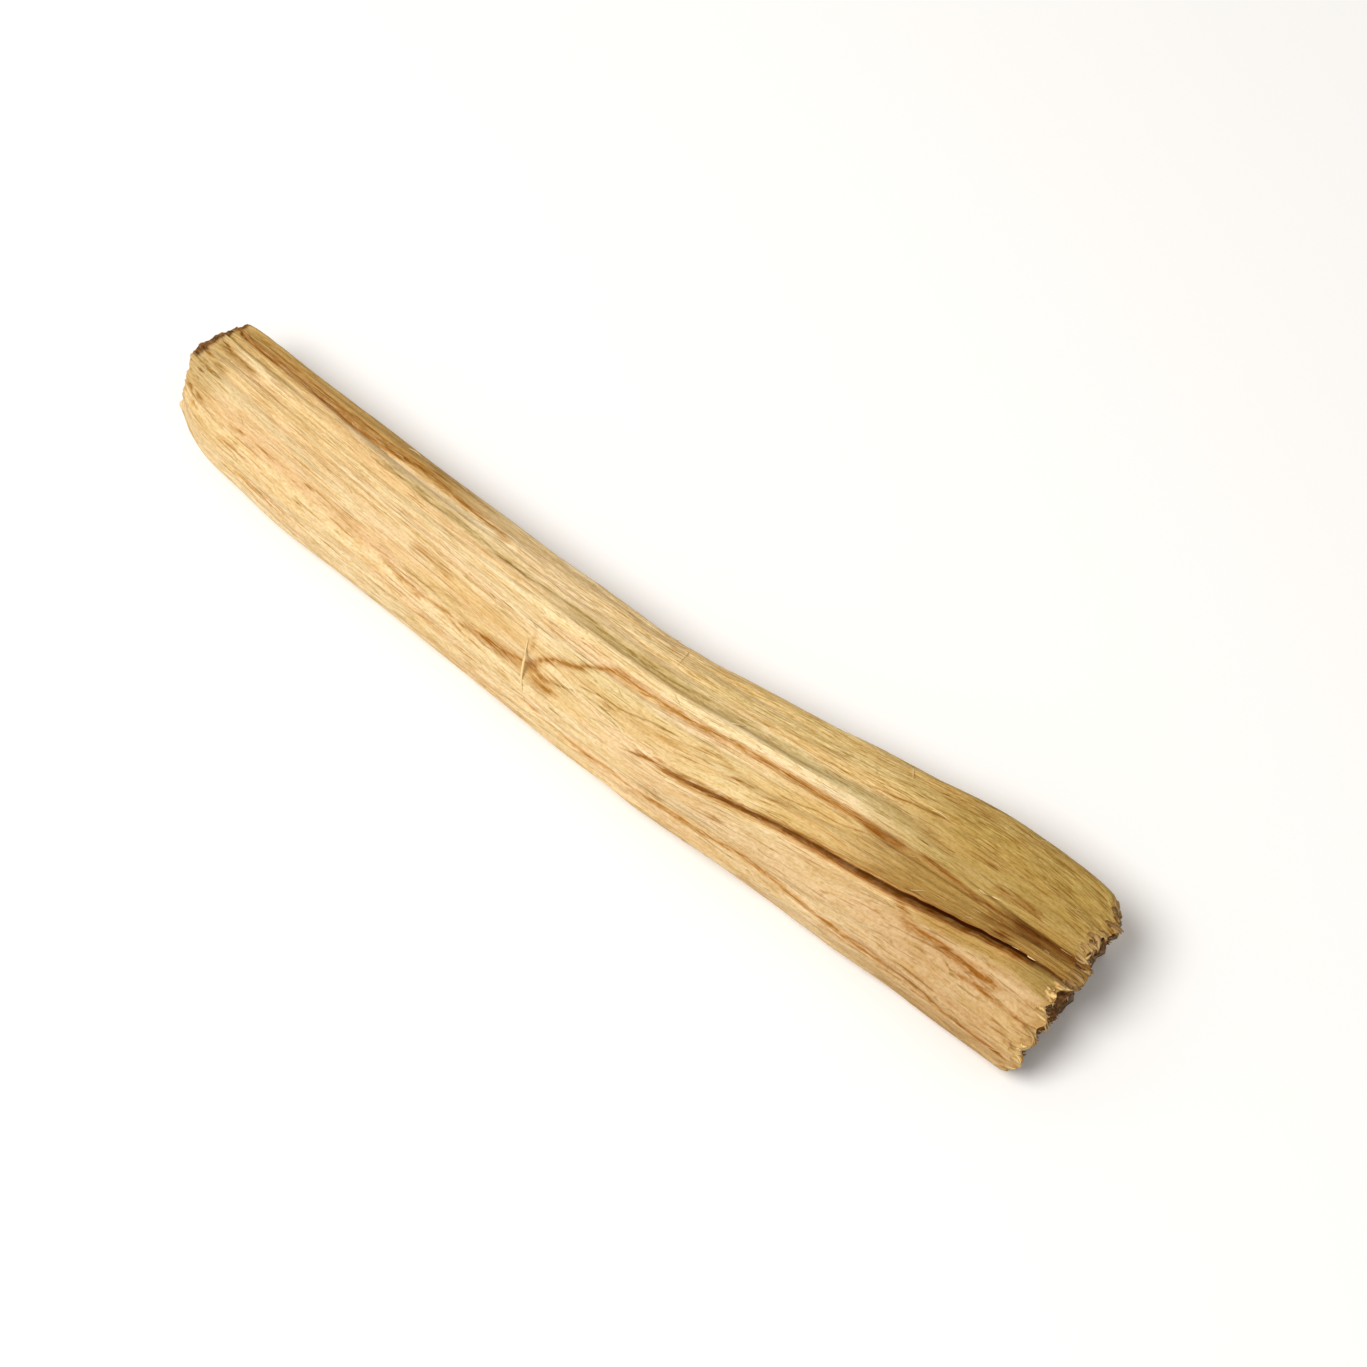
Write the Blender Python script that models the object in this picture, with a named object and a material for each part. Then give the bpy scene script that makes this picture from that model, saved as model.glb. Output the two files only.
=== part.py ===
"""A split stick of pale aromatic wood, about four inches long, lying on its flat split side.

Metres, +Z up. X runs along the grain, towards the torn end. -Y is the side with the long crack.
The origin is on the surface that the stick lies on, under the middle of the stick.
"""

import bmesh
import bpy
import numpy as np
from mathutils import Vector, noise
from mathutils.geometry import delaunay_2d_cdt, intersect_point_line

MM = 0.001

# Driving sizes, in millimetres
LENGTH = 102.0
STATIONS = 68
END_ZONE = 3.0
END_ZONE_STATIONS = 5

# The lines that run along the grain round the section, from the front foot over the top to the rear foot.
# Each has the number of rows up to the next line, and the points (x, y, z) that it passes through.
OUTLINE = {
    "front foot": (3, [(-51, -3.4, 0), (-46, -5.6, 0), (-36, -6.7, 0), (0, -7.8, 0), (24, -7.3, 0), (51, -6.9, 0)]),
    "lower edge": (2, [(-51, -5.2, 3.2), (-46, -7.4, 2.8), (-40, -8.3, 2.5), (-18, -9.3, 2.5), (4, -9.8, 2.5),
                       (16, -9.5, 2.5), (30, -8.9, 2.5), (51, -8.7, 2.5)]),
    "lower strip": (3, [(-51, -5.0, 4.8), (-46, -6.9, 4.7), (-40, -7.6, 4.4), (-18, -8.5, 4.4), (4, -9.0, 4.3),
                        (16, -8.6, 4.3), (30, -8.2, 4.2), (51, -8.1, 4.2)]),
    "shoulder": (3, [(-51, -4.4, 6.6), (-46, -5.9, 6.5), (-40, -6.6, 6.4), (-18, -7.8, 6.1), (4, -8.5, 5.8),
                     (16, -8.0, 5.9), (30, -7.0, 6.2), (51, -6.3, 6.4)]),
    "crest": (4, [(-51, -3.9, 7.4), (-40, -5.0, 7.5), (-18, -6.6, 7.3), (4, -8.0, 6.7), (10, -7.8, 6.9),
                  (16, -7.0, 7.3), (24, -5.9, 7.8), (36, -4.2, 8.2), (47, -3.1, 8.2), (51, -3.3, 8.0)]),
    "crack lip": (4, [(-51, -2.6, 7.9), (-40, -3.7, 8.0), (-18, -5.0, 7.9), (-4, -5.9, 7.7), (4, -6.4, 7.5),
                      (10, -6.5, 7.6), (16, -5.9, 8.0), (24, -4.5, 8.5), (30, -3.7, 8.7), (36, -2.7, 8.8),
                      (42, -1.5, 8.8), (47, -0.8, 8.8), (51, -0.6, 8.8)]),
    "middle ridge": (3, [(-51, -0.9, 8.4), (-40, -1.8, 8.5), (-18, -3.0, 8.6), (4, -3.7, 8.8), (16, -2.4, 8.9),
                         (24, -1.6, 9.1), (36, -1.0, 9.3), (47, -0.1, 9.3), (51, 0.0, 9.3)]),
    "brown hollow": (5, [(-51, 0.1, 8.5), (-40, -0.7, 8.7), (-18, -1.9, 8.9), (4, -2.3, 9.0), (16, -0.9, 8.9),
                         (24, -0.1, 8.7), (36, 0.7, 8.4), (47, 1.1, 8.3), (51, 1.4, 8.3)]),
    "ridge": (6, [(-51, 1.5, 8.5), (-40, 0.7, 8.9), (-30, -0.1, 9.2), (-6, -0.6, 9.4), (4, -0.6, 9.5),
                  (16, 0.3, 9.6), (30, 1.6, 9.6), (51, 2.2, 9.6)]),
    "upper face": (5, [(-51, 3.0, 8.2), (-30, 1.9, 8.9), (-6, 1.6, 9.0), (4, 1.9, 9.0), (16, 3.1, 9.1),
                       (30, 5.2, 9.3), (42, 5.9, 9.3), (51, 5.4, 9.2)]),
    "top edge": (4, [(-51, 4.5, 7.1), (-40, 4.4, 7.4), (-18, 4.1, 7.6), (-6, 4.1, 7.6), (4, 4.6, 7.6),
                     (10, 5.5, 7.6), (16, 6.6, 7.6), (24, 7.8, 7.6), (30, 8.7, 7.6), (36, 9.6, 7.6),
                     (42, 9.85, 7.6), (47, 9.65, 7.6), (51, 8.6, 7.6)]),
    "rear face": (4, [(-51, 4.4, 4.4), (-18, 4.2, 4.6), (4, 4.7, 4.6), (16, 6.0, 4.6), (30, 8.4, 4.6),
                      (42, 9.3, 4.6), (51, 8.4, 4.6)]),
    "rear foot": (1, [(-51, 2.8, 0), (-46, 3.2, 0), (-18, 3.2, 0), (4, 3.5, 0), (16, 4.6, 0), (30, 6.8, 0),
                      (42, 7.8, 0), (51, 7.2, 0)]),
}
SHARP = ("front foot", "crack floor", "crack root", "crack lip", "rear foot")
ROUNDING_PASSES = 2

# The drying crack, which opens towards the torn end under an overhanging lip, as (x, share open)
CRACK_OPENING = [(3, 0), (12, 0.4), (22, 0.85), (32, 1.0), (42, 0.95), (47, 0.7), (51, 0.6)]
CRACK_DROP = 0.95
CRACK_GAPE = 0.1
CRACK_DEPTH = 2.1
CRACK_UNDERCUT = 0.5
LIP_TO_FLOOR = 0.2
LIP_TO_ROOT = 0.1
CRACK_ROWS = 2

# Furrows along the grain, as half width, depth and a route of (x, line). A line counts the outline's lines
# from 0 at the front foot, with the crack's floor and root as 5 and 6, so 10.5 is halfway past the ridge.
FURROWS = [
    (0.55, 0.25, [(-51.5, 11.35), (-43, 11.17), (-34.5, 10.9), (-16, 11.1)]),
    (0.50, 0.40, [(-51.5, 9.3), (-45.5, 9.35), (-35, 9.28)]),
    (0.45, 0.30, [(-51.5, 10.3), (-43, 10.3), (-36, 10.2)]),
    (0.45, 0.30, [(-51.5, 7.9), (-44, 7.9), (-38, 7.9)]),
    (0.50, 0.30, [(-51.5, 3.3), (-44, 3.4), (-36, 3.4)]),
    (0.50, 0.22, [(-26, 10.1), (0, 10.18), (16, 10.25), (27, 10.4)]),
    (0.50, 0.25, [(-46, 1.9), (-34, 2.3), (-22, 2.4)]),
    (0.50, 0.25, [(-8, 2.5), (9, 2.35), (23, 2.5), (41, 2.1), (51.5, 2.0)]),
    (0.45, 0.40, [(14, 7.87), (20, 7.83), (26.4, 8.16), (29, 8.6)]),
    (0.60, 0.90, [(27, 9.05), (29.6, 9.07), (32.5, 9.1)]),
    (0.60, 0.45, [(-15, 4.0), (-10.6, 4.3), (-6.5, 4.8), (-3, 4.6)]),
    (0.90, 0.55, [(-43, 12.5), (-12, 12.8), (21, 12.5)]),
    (0.80, 0.50, [(4, 13.3), (28, 13.2), (51.5, 13.5)]),
    (0.80, 0.45, [(-51.5, 0.8), (-20, 0.7), (8, 0.9)]),
]
FURROW_FADE = 4.0

# Lumps, as x, line, reach along the grain, reach across it, and height: the swelling over the knot, its pit,
# a lifted flake on the top edge with the bite beside it, and a smaller flake
LUMPS = [
    (-5.0, 7.6, 6.0, 2.0, 0.35),
    (-6.3, 4.9, 1.0, 0.7, -0.55),
    (31.0, 11.9, 3.2, 0.8, 0.12),
    (25.6, 11.8, 1.4, 0.8, -0.12),
    (4.6, 11.8, 1.3, 0.7, 0.30),
]

# Waves of the split faces: length along the grain, lines from one to the next, height, and where the noise is read
WAVES = [(26.0, 0.75, 0.42, 3.0), (10.0, 0.33, 0.24, 9.0)]
WAVE_LINES = ((0, 5, 7, 14), (0, 5, 5.3, 12.3))

# The torn end: how far its foot stands back, its roughness, and its tongues and notches as y, z, reach, radius
TORN_LEAN = 0.09
TORN_ROUGH = 0.9
TORN_GRAIN = 1.4
TORN_BITES = [(0.4, 8.8, 0.7, 1.1), (-1.5, 7.9, -1.6, 1.0), (-3.2, 8.0, -0.9, 0.8), (2.6, 9.4, -0.6, 0.8),
              (-6.9, 5.5, -0.7, 0.9), (8.4, 8.0, -0.7, 1.2), (5.4, 9.2, 0.3, 1.0)]

# The other end is crushed: its rear top corner stands back, and its rim is rounded in
CRUSHED_BACK = 1.1
CRUSHED_ACROSS = (1.5, 6.2)
CRUSHED_LEAN = 0.08
CRUSHED_ROUGH = 0.7
CRUSHED_GRAIN = 1.0
RIM_ROUNDING = {-1: 0.09, 1: 0.035}
END_FACE_SPACING = 1.15
END_FACE_MARGIN = 0.45

# Pale cream wood: colour is linear, from its sunlit faces
WOOD_COLOUR = (0.80, 0.55, 0.29, 1.0)
WOOD_ROUGHNESS = 0.72


def curve_through(points, x):
    """A smooth curve through a few points (x, value, ...), read at x."""
    table = np.array(points, float)
    xs, values = table[:, 0], table[:, 1:]
    slopes = np.gradient(values, xs, axis=0)
    i = int(np.clip(np.searchsorted(xs, x) - 1, 0, len(xs) - 2))
    span = xs[i + 1] - xs[i]
    t = float(np.clip((x - xs[i]) / span, 0, 1))
    return (
        values[i] * (2 * t**3 - 3 * t**2 + 1)
        + values[i + 1] * (3 * t**2 - 2 * t**3)
        + slopes[i] * span * (t**3 - 2 * t**2 + t)
        + slopes[i + 1] * span * (t**3 - t**2)
    )


def corners_at(x, opening):
    """The section's corners at x, as (name, rows to the next, place), with the crack open by a share."""
    corners = []
    for name, (rows, points) in OUTLINE.items():
        place = curve_through(points, x)
        if name == "crack lip":
            towards_crest = corners[-1][2] - place
            towards_crest /= np.linalg.norm(towards_crest)
            floor = place + LIP_TO_FLOOR * towards_crest + opening * np.array([-CRACK_GAPE, -CRACK_DROP])
            root = place + LIP_TO_ROOT * towards_crest + opening * CRACK_DEPTH * np.array([CRACK_UNDERCUT, -1])
            corners.append(("crack floor", CRACK_ROWS, floor))
            corners.append(("crack root", CRACK_ROWS, root))
        corners.append((name, rows, place))
    return corners


def rows_at(x, opening):
    """The rows of the section at x, from the front foot over the top to the rear foot, with their lines."""
    rows, lines, sharp = [], [], []
    corners = corners_at(x, opening)
    for line, (name, count, place) in enumerate(corners):
        following = corners[min(line + 1, len(corners) - 1)][2]
        for step in range(count):
            rows.append(place + (following - place) * step / count)
            lines.append(line + step / count)
            sharp.append(step == 0 and name in SHARP)
    rows, sharp = np.array(rows), np.array(sharp)
    for _ in range(ROUNDING_PASSES):
        eased = rows.copy()
        eased[1:-1] = rows[1:-1] / 2 + (rows[:-2] + rows[2:]) / 4
        rows = np.where(sharp[:, None], rows, eased)
    return rows, np.array(lines)


def waves_at(x, lines):
    """How far the split faces wave in and out, row by row."""
    spread = np.interp(lines, *WAVE_LINES)
    height = np.zeros(len(lines))
    for length, apart, size, where in WAVES:
        height += [size * noise.noise(Vector((x / length, line / apart, where))) for line in spread]
    return height


def furrows_at(x, lines, across):
    """How deep the furrows are at x, row by row, where across is the distance round the section."""
    depth = np.zeros(len(lines))
    for half_width, deepest, route in FURROWS:
        start, end = route[0][0], route[-1][0]
        if not start < x < end:
            continue
        centre = np.interp(curve_through(route, x)[0], lines, across)
        fade = min(1.0, (x - start) / FURROW_FADE, (end - x) / FURROW_FADE)
        depth += deepest * fade * np.exp(-(((across - centre) / half_width) ** 2))
    return depth


def lumps_at(x, lines, across):
    height = np.zeros(len(lines))
    for middle, line, along, wide, size in LUMPS:
        centre = np.interp(line, lines, across)
        height += size * np.exp(-(((x - middle) / along) ** 2) - ((across - centre) / wide) ** 2)
    return height


def section_at(x):
    """The finished rows of the section at x: the outline with its crack, waves, furrows and lumps."""
    closed, lines = rows_at(x, 0.0)
    opened, _ = rows_at(x, float(curve_through(CRACK_OPENING, x)[0]))
    steps = np.diff(closed, axis=0)
    across = np.concatenate([[0], np.cumsum(np.linalg.norm(steps, axis=1))])
    tangents = np.gradient(closed, across, axis=0)
    outward = np.stack([-tangents[:, 1], tangents[:, 0]], axis=1)
    outward /= np.linalg.norm(outward, axis=1)[:, None]
    height = waves_at(x, lines) - furrows_at(x, lines, across) + lumps_at(x, lines, across)
    off_the_feet = np.clip(np.minimum(across, across[-1] - across) / 2.0, 0, 1)
    return opened + outward * (height * off_the_feet)[:, None]


def torn_end(y, z):
    """Where the torn end lies at (y, z)."""
    x = LENGTH / 2 - TORN_LEAN * (9.4 - z)
    x += TORN_ROUGH * noise.noise(Vector((0.5, y / TORN_GRAIN, z / TORN_GRAIN)))
    for bite_y, bite_z, reach, radius in TORN_BITES:
        x += reach * np.exp(-((y - bite_y) ** 2 + (z - bite_z) ** 2) / radius**2)
    return x


def crushed_end(y, z):
    """Where the crushed end lies at (y, z)."""
    start, end = CRUSHED_ACROSS
    towards_rear = np.clip((0.935 * y + 0.354 * z - start) / (end - start), 0, 1)
    x = CRUSHED_BACK * towards_rear**2 + CRUSHED_LEAN * (9.4 - z) - LENGTH / 2
    return x + CRUSHED_ROUGH * noise.noise(Vector((7.5, y / CRUSHED_GRAIN, z / CRUSHED_GRAIN)))


def end_at(side, y, z):
    return torn_end(y, z) if side > 0 else crushed_end(y, z)


def stations():
    """Where the sections stand along the stick, closer together in the two end zones."""
    end = LENGTH / 2
    inner = np.linspace(END_ZONE - end, end - END_ZONE, STATIONS - 2 * END_ZONE_STATIONS)
    closer = END_ZONE * np.sin(np.linspace(0, np.pi / 2, END_ZONE_STATIONS + 1)[1:])
    return np.concatenate([inner[0] - closer[::-1], inner, inner[-1] + closer])


def ring_at(x):
    """The section's points (x, y, z), drawn in and shifted to the end's own face in an end zone."""
    section = section_at(x)
    side = 1 if x > 0 else -1
    share = np.clip((abs(x) - (LENGTH / 2 - END_ZONE)) / END_ZONE, 0, 1)
    middle = section.mean(axis=0)
    section = section + (middle - section) * RIM_ROUNDING[side] * share**3
    shifts = [end_at(side, y, z) - side * LENGTH / 2 for y, z in section]
    return np.column_stack([x + share * np.array(shifts), section])


def gap_to_rim(spot, rim):
    """The distance from a point to the nearest edge of the rim."""
    gaps = []
    for start, end in rim:
        nearest, share = intersect_point_line(spot, start, end)
        share = min(max(share, 0.0), 1.0)
        gaps.append((spot - (start + (end - start) * share)).length)
    return min(gaps)


def close_end(mesh, ring, side):
    """Fills the end's outline with a rough face."""
    outline = [vert.co.yz / MM for vert in ring]
    count = len(outline)
    rim = [(i, (i + 1) % count) for i in range(count)]
    rim_edges = [(outline[a], outline[b]) for a, b in rim]
    low, high = np.min(outline, axis=0), np.max(outline, axis=0)
    inner = []
    for y in np.arange(low[0], high[0], END_FACE_SPACING):
        for z in np.arange(low[1], high[1], END_FACE_SPACING):
            if gap_to_rim(Vector((y, z)), rim_edges) > END_FACE_MARGIN:
                inner.append(Vector((y, z)))
    places, _, faces, origins, _, _ = delaunay_2d_cdt(outline + inner, rim, [list(range(count))], 1, 1e-5)
    verts = []
    for place, origin in zip(places, origins):
        on_rim = [index for index in origin if index < count]
        if on_rim:
            verts.append(ring[on_rim[0]])
        else:
            verts.append(mesh.verts.new(Vector((end_at(side, *place), *place)) * MM))
    for face in faces:
        mesh.faces.new([verts[index] for index in face])


def build_wood():
    mesh = bmesh.new()
    rings = [[mesh.verts.new(Vector(point) * MM) for point in ring_at(x)] for x in stations()]
    count = len(rings[0])
    for ring, following in zip(rings, rings[1:]):
        for row in range(count):
            after = (row + 1) % count
            mesh.faces.new((ring[row], following[row], following[after], ring[after]))
    close_end(mesh, rings[0], -1)
    close_end(mesh, rings[-1], 1)
    bmesh.ops.delete(mesh, geom=[vert for vert in mesh.verts if not vert.link_faces], context="VERTS")
    bmesh.ops.recalc_face_normals(mesh, faces=mesh.faces)
    places = np.array([vert.co for vert in mesh.verts])
    middle = (places.min(axis=0) + places.max(axis=0)) / 2
    bmesh.ops.translate(mesh, verts=mesh.verts, vec=(-middle[0], -middle[1], -places[:, 2].min()))
    data = bpy.data.meshes.new("stick")
    mesh.to_mesh(data)
    mesh.free()
    data.shade_smooth()
    data.set_sharp_from_angle(angle=np.radians(40))
    return data


def wood_material():
    material = bpy.data.materials.new("wood")
    material.use_nodes = True
    shader = material.node_tree.nodes["Principled BSDF"]
    shader.inputs["Base Color"].default_value = WOOD_COLOUR
    shader.inputs["Roughness"].default_value = WOOD_ROUGHNESS
    shader.inputs["Metallic"].default_value = 0.0
    return material


def clear_scene():
    for thing in list(bpy.data.objects):
        bpy.data.objects.remove(thing)


clear_scene()
stick = bpy.data.objects.new("stick", build_wood())
stick.data.materials.append(wood_material())
bpy.context.scene.collection.objects.link(stick)
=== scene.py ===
import math

import bmesh
import bpy
import numpy as np
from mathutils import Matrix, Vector, noise
from mathutils.geometry import delaunay_2d_cdt, intersect_point_line


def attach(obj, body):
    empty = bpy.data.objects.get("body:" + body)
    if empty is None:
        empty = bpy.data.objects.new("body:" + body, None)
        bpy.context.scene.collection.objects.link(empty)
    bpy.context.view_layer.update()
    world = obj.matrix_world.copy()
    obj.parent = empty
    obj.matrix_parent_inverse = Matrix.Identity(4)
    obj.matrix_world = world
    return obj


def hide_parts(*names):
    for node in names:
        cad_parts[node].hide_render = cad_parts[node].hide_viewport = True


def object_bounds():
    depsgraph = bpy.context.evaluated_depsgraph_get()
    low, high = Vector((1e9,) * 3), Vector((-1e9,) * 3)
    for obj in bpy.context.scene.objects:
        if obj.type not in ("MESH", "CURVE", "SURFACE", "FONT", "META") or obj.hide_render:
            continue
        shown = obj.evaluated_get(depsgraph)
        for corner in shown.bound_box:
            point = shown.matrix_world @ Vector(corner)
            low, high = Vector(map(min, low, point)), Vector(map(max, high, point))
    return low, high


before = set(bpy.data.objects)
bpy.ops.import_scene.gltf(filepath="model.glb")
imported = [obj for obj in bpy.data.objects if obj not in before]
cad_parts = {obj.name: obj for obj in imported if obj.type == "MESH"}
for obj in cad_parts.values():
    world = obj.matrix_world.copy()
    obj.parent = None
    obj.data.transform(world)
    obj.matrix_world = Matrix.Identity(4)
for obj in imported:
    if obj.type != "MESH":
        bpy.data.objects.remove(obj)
cad_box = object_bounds()

# The wood
# One piece of pale, resinous wood, split by hand along its grain, so its faces are long facets with fibres
# standing in them. One end is torn and flared, the other is crushed. Sizes are in millimetres.
MM = 0.001
HALF_LENGTH = 51.0
END_ZONE = 3.0
STATIONS_BETWEEN = 214
STATIONS_IN_END = 18

# The lines along the grain, from the front foot over the top to the rear foot. Each has the solid's rows
# to the next line, the fine rows to it, and its points (x, y, z). They are the solid's own, but for the
# crack's lip, which lies up to 0.4 higher
OUTLINE = {
    "front foot": (3, 20, [(-51, -3.4, 0), (-46, -5.6, 0), (-36, -6.7, 0), (0, -7.8, 0), (24, -7.3, 0),
        (51, -6.9, 0)]),
    "lower edge": (2, 14, [(-51, -5.2, 3.2), (-46, -7.4, 2.8), (-40, -8.3, 2.5), (-18, -9.3, 2.5),
        (4, -9.8, 2.5), (16, -9.5, 2.5), (30, -8.9, 2.5), (51, -8.7, 2.5)]),
    "lower strip": (3, 18, [(-51, -5.0, 4.8), (-46, -6.9, 4.7), (-40, -7.6, 4.4), (-18, -8.5, 4.4),
        (4, -9.0, 4.3), (16, -8.6, 4.3), (30, -8.2, 4.2), (51, -8.1, 4.2)]),
    "shoulder": (3, 16, [(-51, -4.4, 6.6), (-46, -5.9, 6.5), (-40, -6.6, 6.4), (-18, -7.8, 6.1),
        (4, -8.5, 5.8), (16, -8.0, 5.9), (30, -7.0, 6.2), (51, -6.3, 6.4)]),
    "crest": (4, 32, [(-51, -3.9, 7.4), (-40, -5.0, 7.5), (-18, -6.6, 7.3), (4, -8.0, 6.7),
        (10, -7.8, 6.9), (16, -7.0, 7.3), (24, -5.9, 7.8), (36, -4.2, 8.2), (47, -3.1, 8.2),
        (51, -3.3, 8.0)]),
    "crack lip": (4, 30, [(-51, -2.6, 7.9), (-40, -3.7, 8.0), (-18, -5.0, 7.9), (-4, -5.9, 7.7),
        (4, -6.4, 7.5), (10, -6.4, 7.6), (16, -5.5, 8.1), (24, -4.1, 8.5), (30, -3.4, 8.7),
        (36, -2.4, 8.8), (42, -1.2, 8.8), (47, -0.6, 8.8), (51, -0.5, 8.8)]),
    "middle ridge": (3, 24, [(-51, -0.9, 8.4), (-40, -1.8, 8.5), (-18, -3.0, 8.6), (4, -3.7, 8.8),
        (16, -2.4, 8.9), (24, -1.6, 9.1), (36, -1.0, 9.3), (47, -0.1, 9.3), (51, 0.0, 9.3)]),
    "brown hollow": (5, 44, [(-51, 0.1, 8.5), (-40, -0.7, 8.7), (-18, -1.9, 8.9), (4, -2.3, 9.0),
        (16, -0.9, 8.9), (24, -0.1, 8.7), (36, 0.7, 8.4), (47, 1.1, 8.3), (51, 1.4, 8.3)]),
    "ridge": (6, 44, [(-51, 1.5, 8.5), (-40, 0.7, 8.9), (-30, -0.1, 9.2), (-6, -0.6, 9.4),
        (4, -0.6, 9.5), (16, 0.3, 9.6), (30, 1.6, 9.6), (51, 2.2, 9.6)]),
    "upper face": (5, 40, [(-51, 3.0, 8.2), (-30, 1.9, 8.9), (-6, 1.6, 9.0), (4, 1.9, 9.0),
        (16, 3.1, 9.1), (30, 5.2, 9.3), (42, 5.9, 9.3), (51, 5.4, 9.2)]),
    "top edge": (4, 24, [(-51, 4.5, 7.1), (-40, 4.4, 7.4), (-18, 4.1, 7.6), (-6, 4.1, 7.6),
        (4, 4.6, 7.6), (10, 5.5, 7.6), (16, 6.6, 7.6), (24, 7.8, 7.6), (30, 8.7, 7.6), (36, 9.6, 7.6),
        (42, 9.85, 7.6), (47, 9.65, 7.6), (51, 8.6, 7.6)]),
    "rear face": (4, 24, [(-51, 4.4, 4.4), (-18, 4.2, 4.6), (4, 4.7, 4.6), (16, 6.0, 4.6),
        (30, 8.4, 4.6), (42, 9.3, 4.6), (51, 8.4, 4.6)]),
    "rear foot": (1, 18, [(-51, 2.8, 0), (-46, 3.2, 0), (-18, 3.2, 0), (4, 3.5, 0), (16, 4.6, 0),
        (30, 6.8, 0), (42, 7.8, 0), (51, 7.2, 0)]),
}
LINE_COUNT = len(OUTLINE) + 2
SHARP_LINES = (0, 5, 6, 7, 14)

# The crack: its share of the full opening along x, and its sizes where it is fully open
CRACK_OPENING = [(3, 0), (12, 0.15), (20, 0.32), (27, 0.55), (34, 0.85), (42, 0.95), (47, 0.6), (51, 0.5)]
CRACK_DROP, CRACK_GAPE, CRACK_DEPTH, CRACK_UNDERCUT = 0.95, 0.1, 2.1, 0.5
LIP_TO_FLOOR, LIP_TO_ROOT, LIP_WANDER = 0.2, 0.1, 0.16
CRACK_ROWS, CRACK_FINE_ROWS = 2, 8
EDGE_EASINGS, FINE_EASINGS = 2, 14


def curve_through(points, x):
    """A smooth curve through a few points (x, value, ...), read at x."""
    table = np.array(points, float)
    xs, values = table[:, 0], table[:, 1:]
    slopes = np.gradient(values, xs, axis=0)
    i = int(np.clip(np.searchsorted(xs, x) - 1, 0, len(xs) - 2))
    span = xs[i + 1] - xs[i]
    t = float(np.clip((x - xs[i]) / span, 0, 1))
    return (
        values[i] * (2 * t**3 - 3 * t**2 + 1)
        + values[i + 1] * (3 * t**2 - 2 * t**3)
        + slopes[i] * span * (t**3 - 2 * t**2 + t)
        + slopes[i + 1] * span * (t**3 - t**2)
    )


def corners_at(x, opening):
    """The section's corners (y, z) at x, line by line, with the crack open by a share."""
    corners = []
    for name, (_, _, points) in OUTLINE.items():
        place = curve_through(points, x)
        if name == "crack lip":
            towards_crest = corners[-1] - place
            towards_crest /= np.linalg.norm(towards_crest)
            wander = noise.noise(Vector((x / 1.6, 0.5, 2.5)))
            wander += 0.5 * noise.noise(Vector((x / 0.7, 4.5, 2.5)))
            place = place + LIP_WANDER * opening * wander * towards_crest
            drop = opening * np.array([-CRACK_GAPE, -CRACK_DROP])
            undercut = opening * CRACK_DEPTH * np.array([CRACK_UNDERCUT, -1])
            corners.append(place + LIP_TO_FLOOR * towards_crest + drop)
            corners.append(place + LIP_TO_ROOT * towards_crest + undercut)
        corners.append(place)
    return np.array(corners)


def counts(which, in_crack):
    """The rows to the next line, for each line, with the crack's floor and root put in after the crest."""
    rows = [entry[which] for entry in OUTLINE.values()]
    return rows[:5] + [in_crack, in_crack] + rows[5:]


def row_lines(rows):
    return np.concatenate([line + np.arange(count) / count for line, count in enumerate(rows)])


solid_lines = row_lines(counts(0, CRACK_ROWS))
fine_lines = row_lines(counts(1, CRACK_FINE_ROWS))
solid_sharp = np.isin(solid_lines, SHARP_LINES)
fine_sharp = np.isin(fine_lines, SHARP_LINES) | (fine_lines > 14)
row_count = len(fine_lines)


def rows_at(x, opening):
    """The section at x: the solid's own rows with their edges rounded, read again at the fine rows."""
    corners = corners_at(x, opening)
    rows = np.column_stack([np.interp(solid_lines, range(LINE_COUNT), corners[:, k]) for k in (0, 1)])
    for _ in range(EDGE_EASINGS):
        eased = rows.copy()
        eased[1:-1] = rows[1:-1] / 2 + (rows[:-2] + rows[2:]) / 4
        rows = np.where(solid_sharp[:, None], rows, eased)
    closed = np.vstack([rows, rows[:1]])
    ends = np.append(solid_lines, LINE_COUNT)
    fine = np.column_stack([np.interp(fine_lines, ends, closed[:, k]) for k in (0, 1)])
    for _ in range(FINE_EASINGS):
        eased = fine / 2 + (np.roll(fine, 1, axis=0) + np.roll(fine, -1, axis=0)) / 4
        fine = np.where(fine_sharp[:, None], fine, eased)
    return fine


inner = np.linspace(END_ZONE - HALF_LENGTH, HALF_LENGTH - END_ZONE, STATIONS_BETWEEN)
closer = END_ZONE * np.sin(np.linspace(0, np.pi / 2, STATIONS_IN_END + 1)[1:])
stations = np.concatenate([inner[0] - closer[::-1], inner, inner[-1] + closer])
closed_rows = np.array([rows_at(x, 0.0) for x in stations])
rows = np.array([rows_at(x, curve_through(CRACK_OPENING, x)[0]) for x in stations])
steps = np.linalg.norm(np.diff(closed_rows, axis=1), axis=2)
across = np.concatenate([np.zeros((len(stations), 1)), np.cumsum(steps, axis=1)], axis=1)
rear_foot = int(np.where(fine_lines == 14)[0][0])
tangents = np.gradient(closed_rows, axis=1)
outward = np.stack([-tangents[..., 1], tangents[..., 0]], axis=2)
outward /= np.linalg.norm(outward, axis=2)[..., None]
station_x = np.broadcast_to(stations[:, None], across.shape)
all_lines = np.broadcast_to(fine_lines[None], across.shape)

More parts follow.
